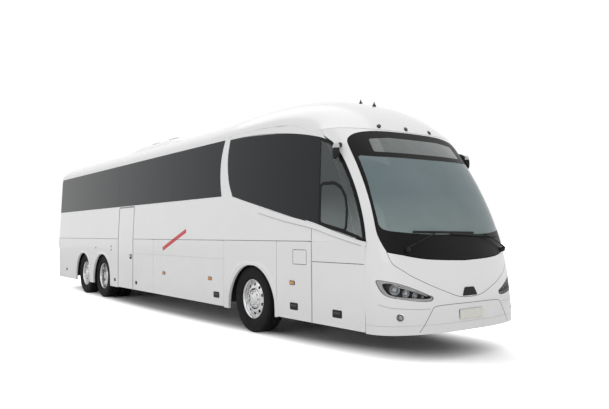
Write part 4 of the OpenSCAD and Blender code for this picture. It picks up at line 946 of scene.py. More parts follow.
class COACH_OT_side_glass(Build, bpy.types.Operator):
    """Bonded side windows, the cab windows that run round the front corners and their mouldings"""
    bl_idname = "coach.side_glass"
    bl_label = "Side glass"

    def build(self, scene):
        rise = scene.coach_skin.glass_rise
        glass = Mould()
        pillar = curve([(2.8, GLASS_FOOT), (2.745, 2.4), (2.726, 2.62), (2.762, 2.87), (2.858, 3.116)], 3)
        rear, ahead = GLASS_JOINTS
        bays = [box_line(GLASS_REAR, rear - JOINT_HALF, GLASS_FOOT, GLASS_TOP)[:3]
                + [(-6.79, GLASS_TOP), (-6.85, 3.09), (GLASS_REAR, 3.03)],
                box_line(rear + JOINT_HALF, ahead - JOINT_HALF, GLASS_FOOT, GLASS_TOP),
                [(ahead + JOINT_HALF, GLASS_FOOT)] + pillar + [(ahead + JOINT_HALF, GLASS_TOP)]]
        cab = cab_line()
        for side in (-1, 1):
            for bay in bays:
                glass.panel(bay, on_side(side), 0.006, lift=-rise, pitch=0.3)
            for x in GLASS_JOINTS:
                glass.strip(upright(x, 2.172, 3.114, 6), 0.014, on_side(side), -0.0015, 0.002, 1)
            shut = [door_line(0.007)] if side > 0 else []
            rear = clipped(cab, CLEAR_X, False)
            ahead = clipped(cab, CLEAR_X, True)
            glass.panel(rear, on_side(side), 0.006, holes=shut, lift=-rise, pitch=0.12)
            if side < 0:
                window = fillet([(5.56, 1.69), (6.06, 1.59), (6.075, 1.83), (6.04, 1.99), (5.955, 2.11),
                                 (5.82, 2.175), (5.56, 2.18)], 0.05)
                glass.panel(ahead, on_side(side), 0.006, lift=-rise, pitch=0.05,
                            zones=((grown(ahead, -0.045), 2), (grown(window, 0.045), 3), (window, 2)),
                            slots=(3, 1, 1))
            else:
                glass.panel(ahead, on_side(side), 0.006, holes=shut, lift=-rise, pitch=0.05,
                            slots=(2, 1, 1))
        glass.object("side_glass", "body", ("dark_glass", "joint", "clear_glass", "screen_edge"),
                     "dark_glass", ("side_windows",))
        trims = Mould()
        for side in (-1, 1):
            place = on_side(side)
            if side < 0:
                run = [(4.0, 1.9), (4.7, 1.765), (5.364, 1.65), (5.9, 1.52), (6.445, 1.4)]
                widths = [0.075, 0.085, 0.066, 0.05, 0.036]
            else:
                run = [(4.0, 1.9), (4.5, 1.805), (5.0, 1.71), (5.34, 1.652)]
                widths = [0.075, 0.082, 0.072, 0.064]
            fine = curve(run, 5)
            wide = [float(np.interp(k / 5, range(len(widths)), widths)) for k in range(len(fine))]
            trims.strip(fine, wide, place, -0.014, 0.014, 0)
            # Grey band along the moulding's lower edge: painted shadow under the moulding.
            trims.strip([(x, z - w / 2 - 0.008) for (x, z), w in zip(fine, wide)], 0.012, place, -0.004,
                        0.004, 1)
            upper = [(x, z + w / 2 + 0.004) for (x, z), w in zip(fine, wide) if x > 5.2]
            if side < 0:
                trims.strip(upper, 0.022, place, -0.016, 0.012, 2)
            lead = curve([(3.045, 3.125), (2.975, 3.155)], 4)
            trims.strip(lead, 0.06, place, -0.003, 0.003, 2)
            edge = [(p[0] - 0.012, p[1]) for p in curve(CAB_REAR, 4)]
            trims.strip(edge, 0.014, place, -0.006, 0.006, 2)
        trims.object("window_mouldings", "body", ("paint", "crease", "bright"), "white_paint")


ARCHES = ((3.1, 4.47, 1.06), (-3.79, -2.54, 1.06), (-5.21, -4.07, 1.06))


def arch_line(x0, x1, top):
    """Edge of a wheel arch from sill to sill."""
    mid = (x0 + x1) / 2
    half = (x1 - x0) / 2
    rise = [(mid + half * copysign(abs(cos(t)) ** 0.72, cos(t)),
             SILL + (top - SILL) * abs(sin(t)) ** 0.8)
            for t in spread(pi, 0.0, 40)]
    return rise


LOCKERS = ("right_rear_locker_door", "right_long_locker_door", "right_front_locker_door",
           "driver_locker_door", "left_rear_locker_door", "left_long_locker_door")


def locker_at(side, x, z):
    """The locker door that a fitting of the flank stands on, or the body."""
    for name in LOCKERS:
        low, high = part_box(name)
        if low.x < x < high.x and low.z < z < high.z and side * (low.y + high.y) > 0:
            return name
    return "body"


CAB_SEAM_X, LOCKER_TOP, CREASE_SHADE_Z = 5.36, 1.1635, 1.125
STRIPE_GAP = 0.004


class COACH_OT_flanks(Build, bpy.types.Operator):
    """Arch lips, handles, markers, filler flap and stripe of the two flanks"""
    bl_idname = "coach.flanks"
    bl_label = "Flank details"

    def build(self, scene):
        skin = scene.coach_skin
        lips = Mould()
        marks = {body: Mould() for body in ("body", *LOCKERS)}
        lamps = {body: Mould() for body in ("body", *LOCKERS)}
        for side in (-1, 1):
            place = on_side(side)
            for x0, x1, top in ARCHES:
                edge = arch_line(x0, x1, top)
                n = len(edge)
                rows = []
                for k, p in enumerate(edge):
                    a, b = edge[max(k - 1, 0)], edge[min(k + 1, n - 1)]
                    t = Vector((b[0] - a[0], b[1] - a[1])).normalized()
                    out = lambda w: (p[0] - t.y * w, max(SILL + 0.002, p[1] + t.x * w))
                    w, h = skin.lip_width, skin.lip_rise
                    rows.append([place(*out(-0.004), 0.03), place(*out(-0.004), -h * 0.6),
                                 place(*out(0.006), -h), place(*out(w * 0.7), -h), place(*out(w), -0.0005),
                                 place(*out(w), 0.004), place(*out(0.004), 0.03)])
                lips.grid(rows, 0, round_columns=True)
                for row in (rows[0], rows[-1]):
                    lips.add(row, [list(range(7))], 0)
            for x, z, w, h in ((2.683, 0.517, 0.2, 0.1), (4.945, 0.526, 0.19, 0.1), (5.9, 0.514, 0.19, 0.1),
                               (-6.1, 0.574, 0.1, 0.07), (-2.235, 0.492, 0.1, 0.07),
                               (-0.92, 0.5, 0.1, 0.07)):
                line = fillet(box_line(x - w / 2, x + w / 2, z - h / 2, z + h / 2), 0.02)
                on_door = marks[locker_at(side, x, z)]
                on_door.panel(line, place, 0.006, lift=-0.003, pitch=0.1, slots=0)
                on_door.strip([(x - w * 0.36, z + h * 0.12), (x + w * 0.36, z + h * 0.12)], h * 0.3, place,
                              -0.008, 0.006, 1)
            for x, z, r in ((-3.61, 1.205, 0.022), (-2.5, 1.256, 0.022), (-2.5, 1.171, 0.022)):
                marks[locker_at(side, x, z)].panel(disc_line(x, z, r, 16), place, 0.004, lift=-0.003,
                                                   pitch=0.1, slots=0)
            flap = fillet(box_line(4.925, 5.245, 1.115, 1.315), 0.02)
            marks[locker_at(side, 5.08, 1.2)].strip(flap + flap[:1], 0.007, place, *SEAM, 0)
            # Grey line along the lockers: painted crease shade.
            marks[locker_at(side, 1.0, CREASE_SHADE_Z)].strip(level(CREASE_SHADE_Z, -1.09, 2.93, 6), 0.006, place, *SEAM, 2)
            door = [b.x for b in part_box("centre_door")]
            runs = [(-6.97, door[0] - 0.01), (door[1] + 0.01, 5.345)] if side < 0 else [(-6.97,
                    DOOR_X0 - 0.02)]
            for a, b in runs:
                marks["body"].strip(level(WAIST, a, b, 12), 0.008, place, *SEAM, 1)
            if side < 0:
                marks["body"].strip(upright(CAB_SEAM_X, 0.35, 1.605, 6), 0.009, place, *SEAM, 1)
                marks["body"].strip(level(LOCKER_TOP, 5.375, 6.42, 4), 0.008, place, *SEAM, 1)
            for x in (0.525, 2.447, 4.906):
                z = 0.851 if x > 4 else 0.777
                lens = lamps[locker_at(side, x, z)]
                lens.plate(x - 0.055, x + 0.055, z - 0.022, z + 0.022, 0.012, place, 0.012,
                           lift=-0.0115, pitch=0.03, slots=0)
                lens.plate(x - 0.064, x + 0.064, z - 0.03, z + 0.03, 0.014, place, 0.004,
                           lift=-0.0035, pitch=0.05, slots=1)
        stripe = [(WAIST - 0.226, 0.482), (WAIST + 0.129, 1.512), (WAIST + 0.201, 1.488),
                  (WAIST - 0.154, 0.458)]
        for body, above in (("right_long_locker_door", False), ("body", True)):
            edge = WAIST + (STRIPE_GAP if above else -STRIPE_GAP)
            part = [(x, z) for z, x in clipped(stripe, edge, above)]
            marks[body].panel(part, on_side(-1), 0.001, lift=-0.0012, pitch=0.1, slots=3)
        for body, mould in marks.items():
            if mould.faces:
                mould.object(f"{body}_fittings" if body != "body" else "flank_fittings", body,
                             ("trim", "joint", "crease", "stripe"), "black_plastic")
        lips.object("arch_lips", "body", ("paint",), "white_paint")
        for body, mould in lamps.items():
            if mould.faces:
                mould.object(f"{body}_marker_lamps" if body != "body" else "side_marker_lamps", body,
                             ("amber_lens", "trim"), "amber_lens",
                             ("side_markers",) if body == "body" else ())


PIN_X = 5.925


class COACH_OT_doors(Build, bpy.types.Operator):
    """Glazed leaf of the front door and the fittings of the centre door"""
    bl_idname = "coach.doors"
    bl_label = "Doors"

    def build(self, scene):
        left, right = on_side(1), on_side(-1)
        leaf = Mould()
        zs = spread(1.45, DOOR_TOP - 0.16, 8)
        pane = [(DOOR_X0 + 0.08, DOOR_TOP - 0.09), (DOOR_X0 + 0.08, 0.62), (DOOR_X1 - 0.1, 0.62),
                (DOOR_X1 - 0.09, 1.32)]
        pane += [(face_x(z) - face_depth(z) - 0.095, z) for z in zs] + [(5.86, DOOR_TOP - 0.09)]
        pane = fillet(pane, 0.05)
        leaf.panel(door_line(0.0), left, 0.04, holes=(grown(pane, 0.001),), pitch=0.09, slots=0)
        leaf.panel(pane, left, 0.006, lift=0.004, pitch=0.12, zones=((grown(pane, -0.035), 2),), slots=1)
        leaf.tube([left(DOOR_X0 + 0.16, z, 0.075) for z in spread(1.0, 1.9, 8)], 0.014, 12, 3)
        for z in (1.0, 1.9):
            leaf.tube([left(DOOR_X0 + 0.16, z, 0.075), left(DOOR_X0 + 0.16, z, 0.008)], 0.011, 10, 3)
        for z in (0.76, 1.305):
            for foot in (z - 0.0083, z + 0.0503):
                leaf.block((PIN_X - 0.02, HALF_W - 0.091, foot),
                           (PIN_X + 0.02, HALF_W - 0.038, foot + 0.008), 0.002, 3)
            leaf.lathe([(0, -0.008), (0.008, -0.008), (0.008, 0.058), (0, 0.058)],
                       (PIN_X, HALF_W - 0.073, z), (0, 0, 1), 20, 3)
        leaf.object("front_door_leaf", "front_door", ("paint", "screen_edge", "clear_glass", "steel"),
                    "white_paint", ("front_door",))
        centre = Mould()
        x0, x1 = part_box("centre_door")[0].x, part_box("centre_door")[1].x
        centre.plate(x1 - 0.2, x1 - 0.08, 1.0, 1.1, 0.02, right, 0.006, lift=-0.003, pitch=0.1)
        centre.strip([(x1 - 0.185, 1.062), (x1 - 0.095, 1.062)], 0.026, right, -0.012, 0.01, 2)
        centre.strip(level(2.135, x0 + 0.02, x1 - 0.02, 4), 0.012, right, -0.002, 0.004, 1)
        for x in (x0 + 0.012, x1 - 0.012):
            centre.strip(upright(x, 0.36, 2.13, 10), 0.012, right, -0.002, 0.004, 1)
        centre.object("centre_door_fittings", "centre_door", ("trim", "joint", "bright"), "black_plastic")


# ---- wheels --------------------------------------------------------------------------------
TREAD = [(0.286, 0.108), (0.306, 0.109), (0.3125, 0.121), (0.335, 0.1365), (0.36, 0.142), (0.4, 0.1472),
         (0.44, 0.1474),
         (0.475, 0.144), (0.496, 0.139), (0.509, 0.131), (0.5165, 0.12), (0.5215, 0.104), (0.522, 0.072)]
SINGLE = [(0.0, 0.13), (0.07, 0.129), (0.092, 0.124), (0.1, 0.106), (0.144, 0.102), (0.149, 0.09),
          (0.159, 0.087),
          (0.165, 0.097), (0.19, 0.095), (0.238, 0.08), (0.262, 0.066), (0.277, 0.06)]
TWIN_FACE = [(0.0, 0.06), (0.08, 0.058), (0.1, 0.052), (0.112, 0.034), (0.148, 0.028), (0.154, 0.012),
             (0.165, 0.006), (0.172, 0.012), (0.2, 0.008), (0.238, -0.012), (0.262, -0.03), (0.277, -0.036)]


HOLE_CIRCLE, STUD_CIRCLE = 0.224, 0.124


def tyre(mould, centre, side, depth):
    ribs = []
    for y in (0.066, 0.022):
        ribs += [(0.522, y + 0.006), (0.522 - depth, y + 0.003), (0.522 - depth, y - 0.003),
                 (0.522, y - 0.006)]
    half = TREAD + ribs
    loop = half + [(r, -y) for r, y in reversed(half)]
    lug = lambda k, r, h: -0.006 if k % 4 == 0 and abs(h) > 0.082 and r > 0.505 else 0.0
    mould.lathe(loop, centre, (0, side, 0), 168, 0, closed=True, shape=lug)


def rim(mould, centre, side, face, wheels):
    """One rim: its tube, its dished face with hand holes, and the nuts of its hub."""
    axis = Vector((0, side, 0))
    mould.lathe([(0.278, -0.119), (0.303, -0.1195), (0.3045, -0.108), (0.29, -0.104), (0.288, 0.1),
                 (0.303, 0.106), (0.3055, 0.112), (0.303, 0.1195), (0.294, 0.1195), (0.287, 0.112),
                 (0.2795, 0.1), (0.277, 0.08), (0.277, -0.1)], centre, axis, 96, 0, closed=True)
    radii, heights = zip(*face)

    def place(x, z, d=0.0):
        h = float(np.interp(hypot(x, z), radii, heights)) - d
        return Vector((centre[0] + x, centre[1] + side * h, centre[2] + z))

    n = wheels.hand_holes
    holes = []
    for k in range(n):
        t = tau * (k + 0.5) / n
        u, v = (cos(t), sin(t)), (-sin(t), cos(t))
        holes.append([])
        for j in range(14):
            a = tau * j / 14
            r, w = HOLE_CIRCLE + wheels.hole_size * 0.85 * cos(a), wheels.hole_size * sin(a)
            holes[-1].append((u[0] * r + v[0] * w, u[1] * r + v[1] * w))
    # The dark ring between the hub and the dished face is painted shade in the groove.
    circles = [(disc_line(0, 0, r, 48), s) for r, s in ((0.165, 1), (0.149, 0), (0.1, 0))]
    mould.panel(disc_line(0, 0, 0.2775, 72), place, 0.008, holes, zones=circles, pitch=0.02, slots=0)
    for k in range(wheels.studs):
        t = tau * k / wheels.studs
        p = place(STUD_CIRCLE * cos(t), STUD_CIRCLE * sin(t), 0.002)
        mould.lathe([(0.015, 0), (0.015, 0.004), (0.0125, 0.006), (0.0125, 0.018), (0.009, 0.024),
                     (0.0, 0.025)], p, axis, 6, 0)
    hub = place(0, 0, 0.0)
    mould.lathe([(0.06, -0.012), (0.064, -0.001), (0.058, 0.002), (0.03, 0.004), (0, 0.0045)], hub, axis,
                40, 0)


class COACH_OT_wheels(Build, bpy.types.Operator):
    """Tyres with tread, and rims with hand holes and nuts, on all three axles"""
    bl_idname = "coach.wheels"
    bl_label = "Wheels"

    def build(self, scene):
        wheels = scene.coach_wheels
        for name, side in SIDES.items():
            for axle, x in AXLES.items():
                kind = f"{name}_{axle}"
                pair = axle == "drive"
                body = f"{kind}_wheels" if pair else f"{kind}_wheel"
                rubber, metal = Mould(), Mould()
                for offset in (0.0, -TWIN) if pair else (0.0,):
                    centre = (x, side * (WHEEL_Y + offset), WHEEL_R)
                    tyre(rubber, centre, side, wheels.groove_depth)
                    rim(metal, centre, side, TWIN_FACE if pair else SINGLE, wheels)
                back = (x, side * (WHEEL_Y - (TWIN if pair else 0.0)), WHEEL_R)
                metal.lathe([(0.07, -0.11), (0.2, -0.11), (0.205, -0.02), (0.2, 0.028), (0.07, 0.03)], back,
                            (0, side, 0), 48, 2, closed=True)
                tyre_nodes = f"{kind}_tyres" if pair else f"{kind}_tyre"
                rim_nodes = f"{kind}_rims" if pair else f"{kind}_rim"
                rubber.object(f"{tyre_nodes}_treaded", body, ("tyre",), "tyre", (tyre_nodes,), sharp=38)
                metal.object(f"{rim_nodes}_polished", body, ("chrome", "hole", "cast"), "wheel_chrome",
                             (rim_nodes,), sharp=32)


# ---- fittings that stand off the skin ------------------------------------------------------
class COACH_OT_pods(Build, bpy.types.Operator):
    """Camera pods that hang from the front pillars in place of mirrors"""
    bl_idname = "coach.pods"
    bl_label = "Camera pods"

    def build(self, scene):
        pods = Mould()
        for s in (-1, 1):
            foot = ring_point(face_ring(2.69), s * radians(73), 0.01)
            tip = Vector((NOSE - 1.075, s * (side_y(2.6) + 0.062), 2.6))
            rows = []
            for k in range(17):
                t = pi * k / 16
                z = tip.z + 0.105 * cos(t)
                r = sin(t) ** 0.55 if 0 < k < 16 else 0.0
                wide = 0.044 + 0.008 * cos(t)
                lean = -0.012 * cos(t)
                rows.append([Vector((tip.x - 0.02 + 0.062 * r * cos(a) * (1.0
                        if cos(a) > 0 else 0.8),
                                     tip.y + s * (lean + wide * r * sin(a)), z))
                             for a in (tau * j / 28 for j in range(28))])
            # The top rows are pale grey, a painted highlight on the pod's top; the rest is black.
            pods.grid(rows[:7], 1, round_columns=True)
            pods.grid(rows[6:], 0, round_columns=True)
            path = curve([foot, foot + Vector((0.03, s * 0.03, 0.0)),
                          tip + Vector((-0.01, -s * 0.01, 0.05))], 5)
            pods.tube(path, [0.03] * 3 + [0.026] * (len(path) - 3), 14, 0, 1.3)
            p = tip + Vector((-0.066, 0, -0.03))
            pods.lathe([(0, 0.0), (0.02, 0.002), (0.026, -0.004), (0.026, -0.02)], p, (-1, 0, 0), 20, 0)
        pods.object("camera_pod_shells", "body", ("trim", "pod_cap"), "black_plastic", ("camera_pods",))


class COACH_OT_tail(Build, bpy.types.Operator):
    """Rear window, lamp clusters, engine grille, plate and reflectors"""
    bl_idname = "coach.tail"
    bl_label = "Tail"

    def build(self, scene):
        glass = Mould()
        glass.plate(-1.0, 1.0, 2.185, 3.03, 0.06, on_tail, 0.006, lift=0.002, pitch=0.2)
        glass.object("rear_glass", "body", ("dark_glass", "joint"), "dark_glass", ("rear_window",))
        lamps = Mould()
        for s in (-1, 1):
            flat = side_y(1.0) - REAR_R
            arc_y = lambda degrees: s * (flat + REAR_R * radians(degrees))
            lamps.panel(fillet([(arc_y(14), 0.785), (arc_y(76), 0.785), (arc_y(76), 1.42),
                                (arc_y(14), 1.42)], 0.02),
                        on_tail, 0.008, lift=-0.003, pitch=0.03, slots=1)
            for z, key in ((0.86, 0), (0.985, 2), (1.11, 0), (1.235, 3), (1.35, 0)):
                lamps.panel(disc_line(arc_y(45), z, 0.052, 28), on_tail, 0.014, lift=-0.0055, pitch=0.025,
                            slots=(key, 1, 1))
            lamps.plate(s * 0.86 - 0.07, s * 0.86 + 0.07, 0.44, 0.475, 0.01, on_tail, 0.006,
                        lift=0.0, pitch=0.05, slots=(0, 1, 1))
        lamps.plate(-0.24, 0.24, 3.1, 3.135, 0.012, on_tail, 0.006, lift=0.001, pitch=0.06, slots=(0, 1, 1))
        lamps.object("rear_lamp_clusters", "body", ("red_lens", "trim", "amber_lens", "lens"), "red_lens",
                     ("rear_lamps",))
        door = Mould()
        for z in spread(1.28, 1.58, 10):
            door.block((TAIL + 0.0005, -0.85, z - 0.007), (TAIL + 0.016, 0.85, z + 0.007), 0.003, 0,
                       Matrix.Rotation(radians(28), 3, "Y"))
        # Dark plate behind the louvres: painted shade of the engine bay.
        door.plate(-0.9, 0.9, 1.25, 1.61, 0.03, on_tail, 0.003, lift=-0.0008, pitch=0.2, slots=1)
        door.plate(-0.262, 0.262, 0.85, 0.965, 0.012, on_tail, 0.004, lift=0.0, pitch=0.1, slots=(2, 0, 0))
        door.block((TAIL + 0.0005, -0.12, 1.0), (TAIL + 0.012, 0.12, 1.03), 0.004, 0)
        door.object("engine_door_fittings", "engine_door", ("trim", "hole", "plate"), "black_plastic")
        bumper = Mould()
        # Grey line across the rear bumper: painted crease shade.
        bumper.strip(level(0.545, -1.27, 1.27, 30), 0.006, on_tail, *SEAM, 0)
        for s in (-1, 1):
            bumper.lathe([(0.0, 0.003), (0.012, 0.003), (0.014, 0), (0.014, -0.01)],
                         (TAIL + 0.002, s * 0.55, 0.6), (-1, 0, 0), 16, 1)
        bumper.object("rear_bumper_joints", "body", ("crease", "trim"), "black_plastic")


# ---- cabin ---------------------------------------------------------------------------------
def pad(mould, low, high, crown=0.12, pull=0.05, slot=0, turn=None, n=6):
    """Stuffed cushion: crowned faces, sides that pull in between the corners."""
    low, high = Vector(low), Vector(high)
    mid, half = (low + high) / 2, (high - low) / 2
    thin = min(range(3), key=lambda k: half[k])
    turn = turn or Matrix.Identity(3)
    for axis in range(3):
        for sign in (-1, 1):
            rows = []
            for u in spread(-1, 1, n):
                row = []
                for v in spread(-1, 1, n):
                    p = [0.0, 0.0, 0.0]
                    p[axis], p[(axis + 1) % 3], p[(axis + 2) % 3] = sign, u, v
                    size = sum(abs(c) ** 7 for c in p) ** (1 / 7)
                    q = [c / size for c in p]
                    others = [k for k in range(3) if k != thin]
                    dome = (1 - q[others[0]] ** 2) * (1 - q[others[1]] ** 2)
                    q[thin] *= 1 - crown + crown * dome * 1.4 if q[thin] > 0 else 1.0
                    for k, other in (others, others[::-1]):
                        q[k] *= 1 - pull * (1 - q[other] ** 2)
                    row.append(mid + turn @ Vector([q[k] * half[k] for k in range(3)]))
                rows.append(row)
            mould.grid(rows, slot)


class COACH_OT_passenger_seats(Build, bpy.types.Operator):
    """Stuffed cushions, head rolls and aisle arm rests of the passenger seats"""
    bl_idname = "coach.passenger_seats"
    bl_label = "Passenger seats"

    def build(self, scene):
        low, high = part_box("passenger_cushions")
        seat_w, pitch = 0.445, 0.8
        aisle = high.y + 0.01 - 2 * seat_w
        pads, fittings = Mould(), Mould()
        for side in (-1, 1):
            row = 0
            while high.x - row * pitch - 0.47 > low.x - 0.01:
                x = high.x - row * pitch
                row += 1
                if side < 0 and not (x - 0.62 > -1.11 + 0.04 or x + 0.06 < -2.04 - 0.04):
                    continue
                for k in range(2):
                    a, b = aisle + k * seat_w + 0.016, aisle + (k + 1) * seat_w - 0.011
                    y0, y1 = (a, b) if side > 0 else (-b, -a)
                    pad(pads, (x - 0.452, y0, low.z + 0.001), (x - 0.002, y1, low.z + 0.106), 0.16, 0.03)
                    pad(pads, (x - 0.468, y0, low.z + 0.112), (x - 0.372, y1, high.z - 0.13), 0.14, 0.03)
                    pad(pads, (x - 0.466, y0 + 0.05, high.z - 0.128),
                        (x - 0.38, y1 - 0.05, high.z - 0.003), 0.1, 0.03, 1)
                y = side * (aisle + 0.004)
                fittings.tube(curve([(x - 0.44, y, low.z + 0.14), (x - 0.3, y, low.z + 0.17),
                                     (x - 0.1, y, low.z + 0.165),
                                     (x - 0.06, y, low.z + 0.15)], 4), 0.016, 10)
        piece = pads.object("passenger_seat_pads", "body", ("fabric", "cab_fabric"), "seat_fabric",
                            ("passenger_cushions",), sharp=60)
        fittings.object("seat_arm_rests", "body", ("frame",), "seat_frame_grey")


class COACH_OT_cab(Build, bpy.types.Operator):
    """Driver's seat, instrument pod, sun blind and sign box of the cab"""
    bl_idname = "coach.cab"
    bl_label = "Cab"

    def build(self, scene):
        low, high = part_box("driver_seat")
        y0, y1 = low.y + 0.012, high.y - 0.012
        z = low.z
        seat = Mould()
        back = Matrix.Rotation(radians(-12), 3, "Y")
        x = low.x
        pad(seat, (x + 0.17, y0, z + 0.37), (high.x - 0.01, y1, z + 0.5), 0.2, 0.04)
        pad(seat, (x + 0.085, y0 + 0.01, z + 0.49), (x + 0.19, y1 - 0.01, z + 0.98), 0.16, 0.04, 0, back)
        pad(seat, (x + 0.02, y0 + 0.1, z + 1.0), (x + 0.11, y1 - 0.1, z + 1.2), 0.12, 0.03, 0, back)
        piece = seat.object("driver_seat_pads", "body", ("cab_fabric",), "seat_fabric_dark",
                            ("driver_seat",), sharp=60)
        base = Mould()
        base.block((x + 0.2, y0 + 0.06, z + 0.002), (high.x - 0.12, y1 - 0.06, z + 0.12), 0.02, 0)
        base.block((x + 0.27, y0 + 0.12, z + 0.12), (high.x - 0.2, y1 - 0.12, z + 0.3), 0.02, 0)
        base.block((x + 0.18, y0 + 0.02, z + 0.3), (high.x - 0.04, y1 - 0.02, z + 0.37), 0.02, 0)
        base.object("driver_seat_base", "body", ("frame",), "seat_frame_grey")
        cab = Mould()
        d1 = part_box("dashboard")[1]
        cab.block((d1.x - 0.3, -1.0, d1.z + 0.002), (d1.x - 0.16, -0.24, d1.z + 0.07), 0.03, 0, steps=3)
        cab.block((d1.x - 0.02, -1.02, d1.z - 0.1), (d1.x + 0.2, 1.02, d1.z - 0.06), 0.018, 0)
        for s in (-1, 1):
            blind = [(s * a, z) for a, z in ((0.1, 2.12), (1.0, 2.12), (1.0, 2.5), (0.1, 2.5))]
            cab.panel(blind, lambda y, z, d=0.0: Vector((face_x(z) - 0.16 - 0.12 * y * y - d, y, z)),
                      0.004, pitch=0.2, slots=1)
        cab.block((5.6, -0.85, 2.58), (5.78, 0.85, 2.83), 0.02, 1)
        cab.object("cab_fittings", "body", ("dash", "frame"), "dash_plastic")


class COACH_OT_carried(Build, bpy.types.Operator):
    """Finishes of the frame's own parts"""
    bl_idname = "coach.carried"
    bl_label = "Finishes of the frame"

    def build(self, scene):
        for key, names in CARRIED.items():
            for name in names:
                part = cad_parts[name]
                part.data.materials.clear()
                part.data.materials.append(look(key))
                part.data.polygons.foreach_set("material_index", [0] * len(part.data.polygons))
                if "custom_normal" in part.data.attributes:
                    part.data.attributes.remove(part.data.attributes["custom_normal"])
                part.data.shade_smooth()
                weld = part.modifiers.new("joined_edges", "WELD")
                weld.merge_threshold = 0.00005
                split = part.modifiers.new("crisp_edges", "EDGE_SPLIT")
                split.split_angle = radians(32)


# ---- stage ---------------------------------------------------------------------------------
# The floor keeps its shadow within this distance of the middle, measured in this shape, in metres.
SHADE, SHADE_SHAPE = (1.05, 1.75), (0.17, 1.0, 0.0)
FLOOR_HALF = 60
EYE = (12.162, -6.371, 1.567)
YAW, PITCH, ROLL = 0.938, 0.043, -0.008


def seen_white(wires, other):
    """Shows white to the camera and in reflections, and the given shader to everything else."""
    rays = wires.nodes.new("ShaderNodeLightPath").outputs
    first = wires.add("Math", "Value", {0: rays["Is Camera Ray"], 1: rays["Is Glossy Ray"]},
                      operation="MAXIMUM")
    seen = wires.add("Math", "Value", {0: first, 1: rays["Is Transmission Ray"]}, operation="MAXIMUM")
    white = wires.add("Background", "Background", {"Strength": 1.0, "Color": (1, 1, 1, 1)})
    return wires.add("MixShader", "Shader", {"Fac": seen, 1: other, 2: white})


def white_far(wires):
    """Lifts the floor to white for the camera, fully so away from the coach."""
    where = wires.add("NewGeometry", "Position")
    flat = wires.add("VectorMath", "Vector", {0: where, 1: SHADE_SHAPE}, operation="MULTIPLY")
    away = wires.add("VectorMath", "Value", {0: flat}, operation="LENGTH")
    fade = wires.add("MapRange", "Result", {"Value": away, "From Min": SHADE[0], "From Max": SHADE[1],
                                            "To Min": 0.0, "To Max": 1.0}, interpolation_type="SMOOTHSTEP")
    camera = wires.add("LightPath", "Is Camera Ray")
    seen = wires.add("Math", "Value", {0: camera, 1: fade}, operation="MULTIPLY")
    glow = wires.add("Emission", "Emission", {"Strength": seen})
    both = wires.add("AddShader", "Shader", {0: wires.nodes["Principled BSDF"].outputs[0], 1: glow})
    wires.feed(wires.nodes["Material Output"], {"Surface": both})


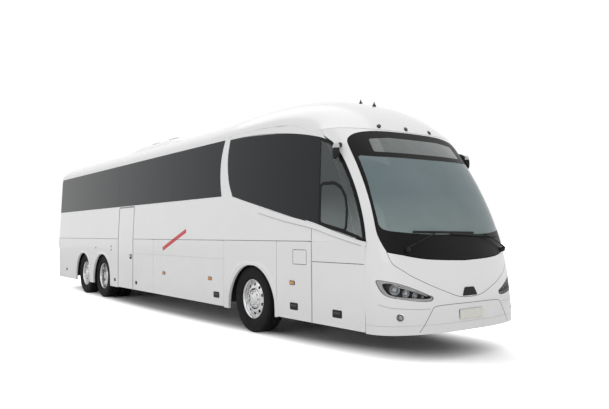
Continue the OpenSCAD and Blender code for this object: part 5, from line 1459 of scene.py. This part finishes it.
class COACH_OT_stage(Build, bpy.types.Operator):
    """White floor, soft lights and the camera"""
    bl_idname = "coach.stage"
    bl_label = "Stage"

    def build(self, scene):
        stage = scene.coach_stage
        world = bpy.data.worlds.new("soft_room")
        scene.world = world
        air = Wires(world)
        even_light = air.nodes["Background"]
        air.feed(even_light, {"Color": (1, 1, 1, 1), "Strength": stage.sky})
        air.feed(air.nodes["World Output"], {"Surface": seen_white(air, even_light.outputs[0])})
        floor = Mould()
        floor.grid([[Vector((x, y, 0.0)) for y in (-FLOOR_HALF, FLOOR_HALF)]
                    for x in (-FLOOR_HALF, FLOOR_HALF)])
        mesh = bpy.data.meshes.new("studio_floor")
        mesh.from_pydata(floor.points, [], floor.faces)
        ground = bpy.data.objects.new("studio_floor", mesh)
        scene.collection.objects.link(ground)
        mat = bpy.data.materials.new("studio_floor")
        wires = Wires(mat)
        wires.feed(wires.nodes["Principled BSDF"],
                   {"Base Color": (*stage.floor, 1), "Roughness": 0.9, "Specular IOR Level": 0.0})
        white_far(wires)
        mesh.materials.append(mat)
        for name, place, aim, size, power in (
                ("top_light", (0, 0, 11), (0, 0, 0), (20, 9), 380),
                ("nose_light", (15, -7, 8), (5, 0, 1.5), (7, 7), 150),
                ("flank_light", (-2, -15, 8), (-1, 0, 1.5), (16, 6), 115)):
            light = bpy.data.lights.new(name, "AREA")
            light.shape = "RECTANGLE"
            light.size, light.size_y = size
            light.energy = power
            lamp = bpy.data.objects.new(name, light)
            lamp.location = place
            lamp.rotation_euler = (Vector(aim) - Vector(place)).to_track_quat("-Z", "Y").to_euler()
            lamp.visible_camera = False
            scene.collection.objects.link(lamp)
        camera = bpy.data.cameras.new("view")
        camera.lens, camera.sensor_width, camera.clip_end = stage.lens, 36.0, 200.0
        eye = bpy.data.objects.new("view", camera)
        ahead = Vector((-sin(YAW) * cos(PITCH), cos(YAW) * cos(PITCH), sin(PITCH)))
        right = Vector((cos(YAW), sin(YAW), 0))
        up = right.cross(ahead)
        across = right * cos(ROLL) + up * sin(ROLL)
        up = up * cos(ROLL) - right * sin(ROLL)
        axes = zip(across, up, -ahead, EYE)
        eye.matrix_world = Matrix((*(tuple(row) for row in axes), (0, 0, 0, 1)))
        scene.collection.objects.link(eye)
        scene.camera = eye
        scene.view_settings.view_transform = "Standard"


class COACH_PT_panel(bpy.types.Panel):
    """Sizes, colours and pieces of the coach"""
    bl_idname = "COACH_PT_panel"
    bl_label = "Touring coach"
    bl_space_type = "VIEW_3D"
    bl_region_type = "UI"
    bl_category = "Coach"

    def draw(self, context):
        scene = context.scene
        for name in GROUPS:
            box = self.layout.box()
            group = getattr(scene, name)
            for prop in group.bl_rna.properties:
                if not prop.is_readonly and prop.identifier != "name":
                    box.prop(group, prop.identifier)
        for step in STEPS:
            self.layout.operator(step.bl_idname)


STEPS = (COACH_OT_stage, COACH_OT_carried, COACH_OT_roof, COACH_OT_roof_fittings, COACH_OT_nose,
         COACH_OT_screen,
         COACH_OT_head_lamps, COACH_OT_side_glass, COACH_OT_flanks, COACH_OT_doors, COACH_OT_wheels,
         COACH_OT_pods,
         COACH_OT_tail, COACH_OT_passenger_seats, COACH_OT_cab)
GROUPS = {"coach_colours": CoachColours, "coach_skin": CoachSkin, "coach_wheels": CoachWheels,
          "coach_stage": CoachStage}


def register():
    for name, group in GROUPS.items():
        bpy.utils.register_class(group)
        setattr(bpy.types.Scene, name, bpy.props.PointerProperty(type=group))
    for cls in (*STEPS, COACH_PT_panel):
        bpy.utils.register_class(cls)


def unregister():
    for cls in (COACH_PT_panel, *reversed(STEPS)):
        bpy.utils.unregister_class(cls)
    for name, group in reversed(GROUPS.items()):
        delattr(bpy.types.Scene, name)
        bpy.utils.unregister_class(group)


def main():
    register()
    for step in STEPS:
        group, name = step.bl_idname.split(".")
        getattr(getattr(bpy.ops, group), name)()


if __name__ == "__main__":
    main()
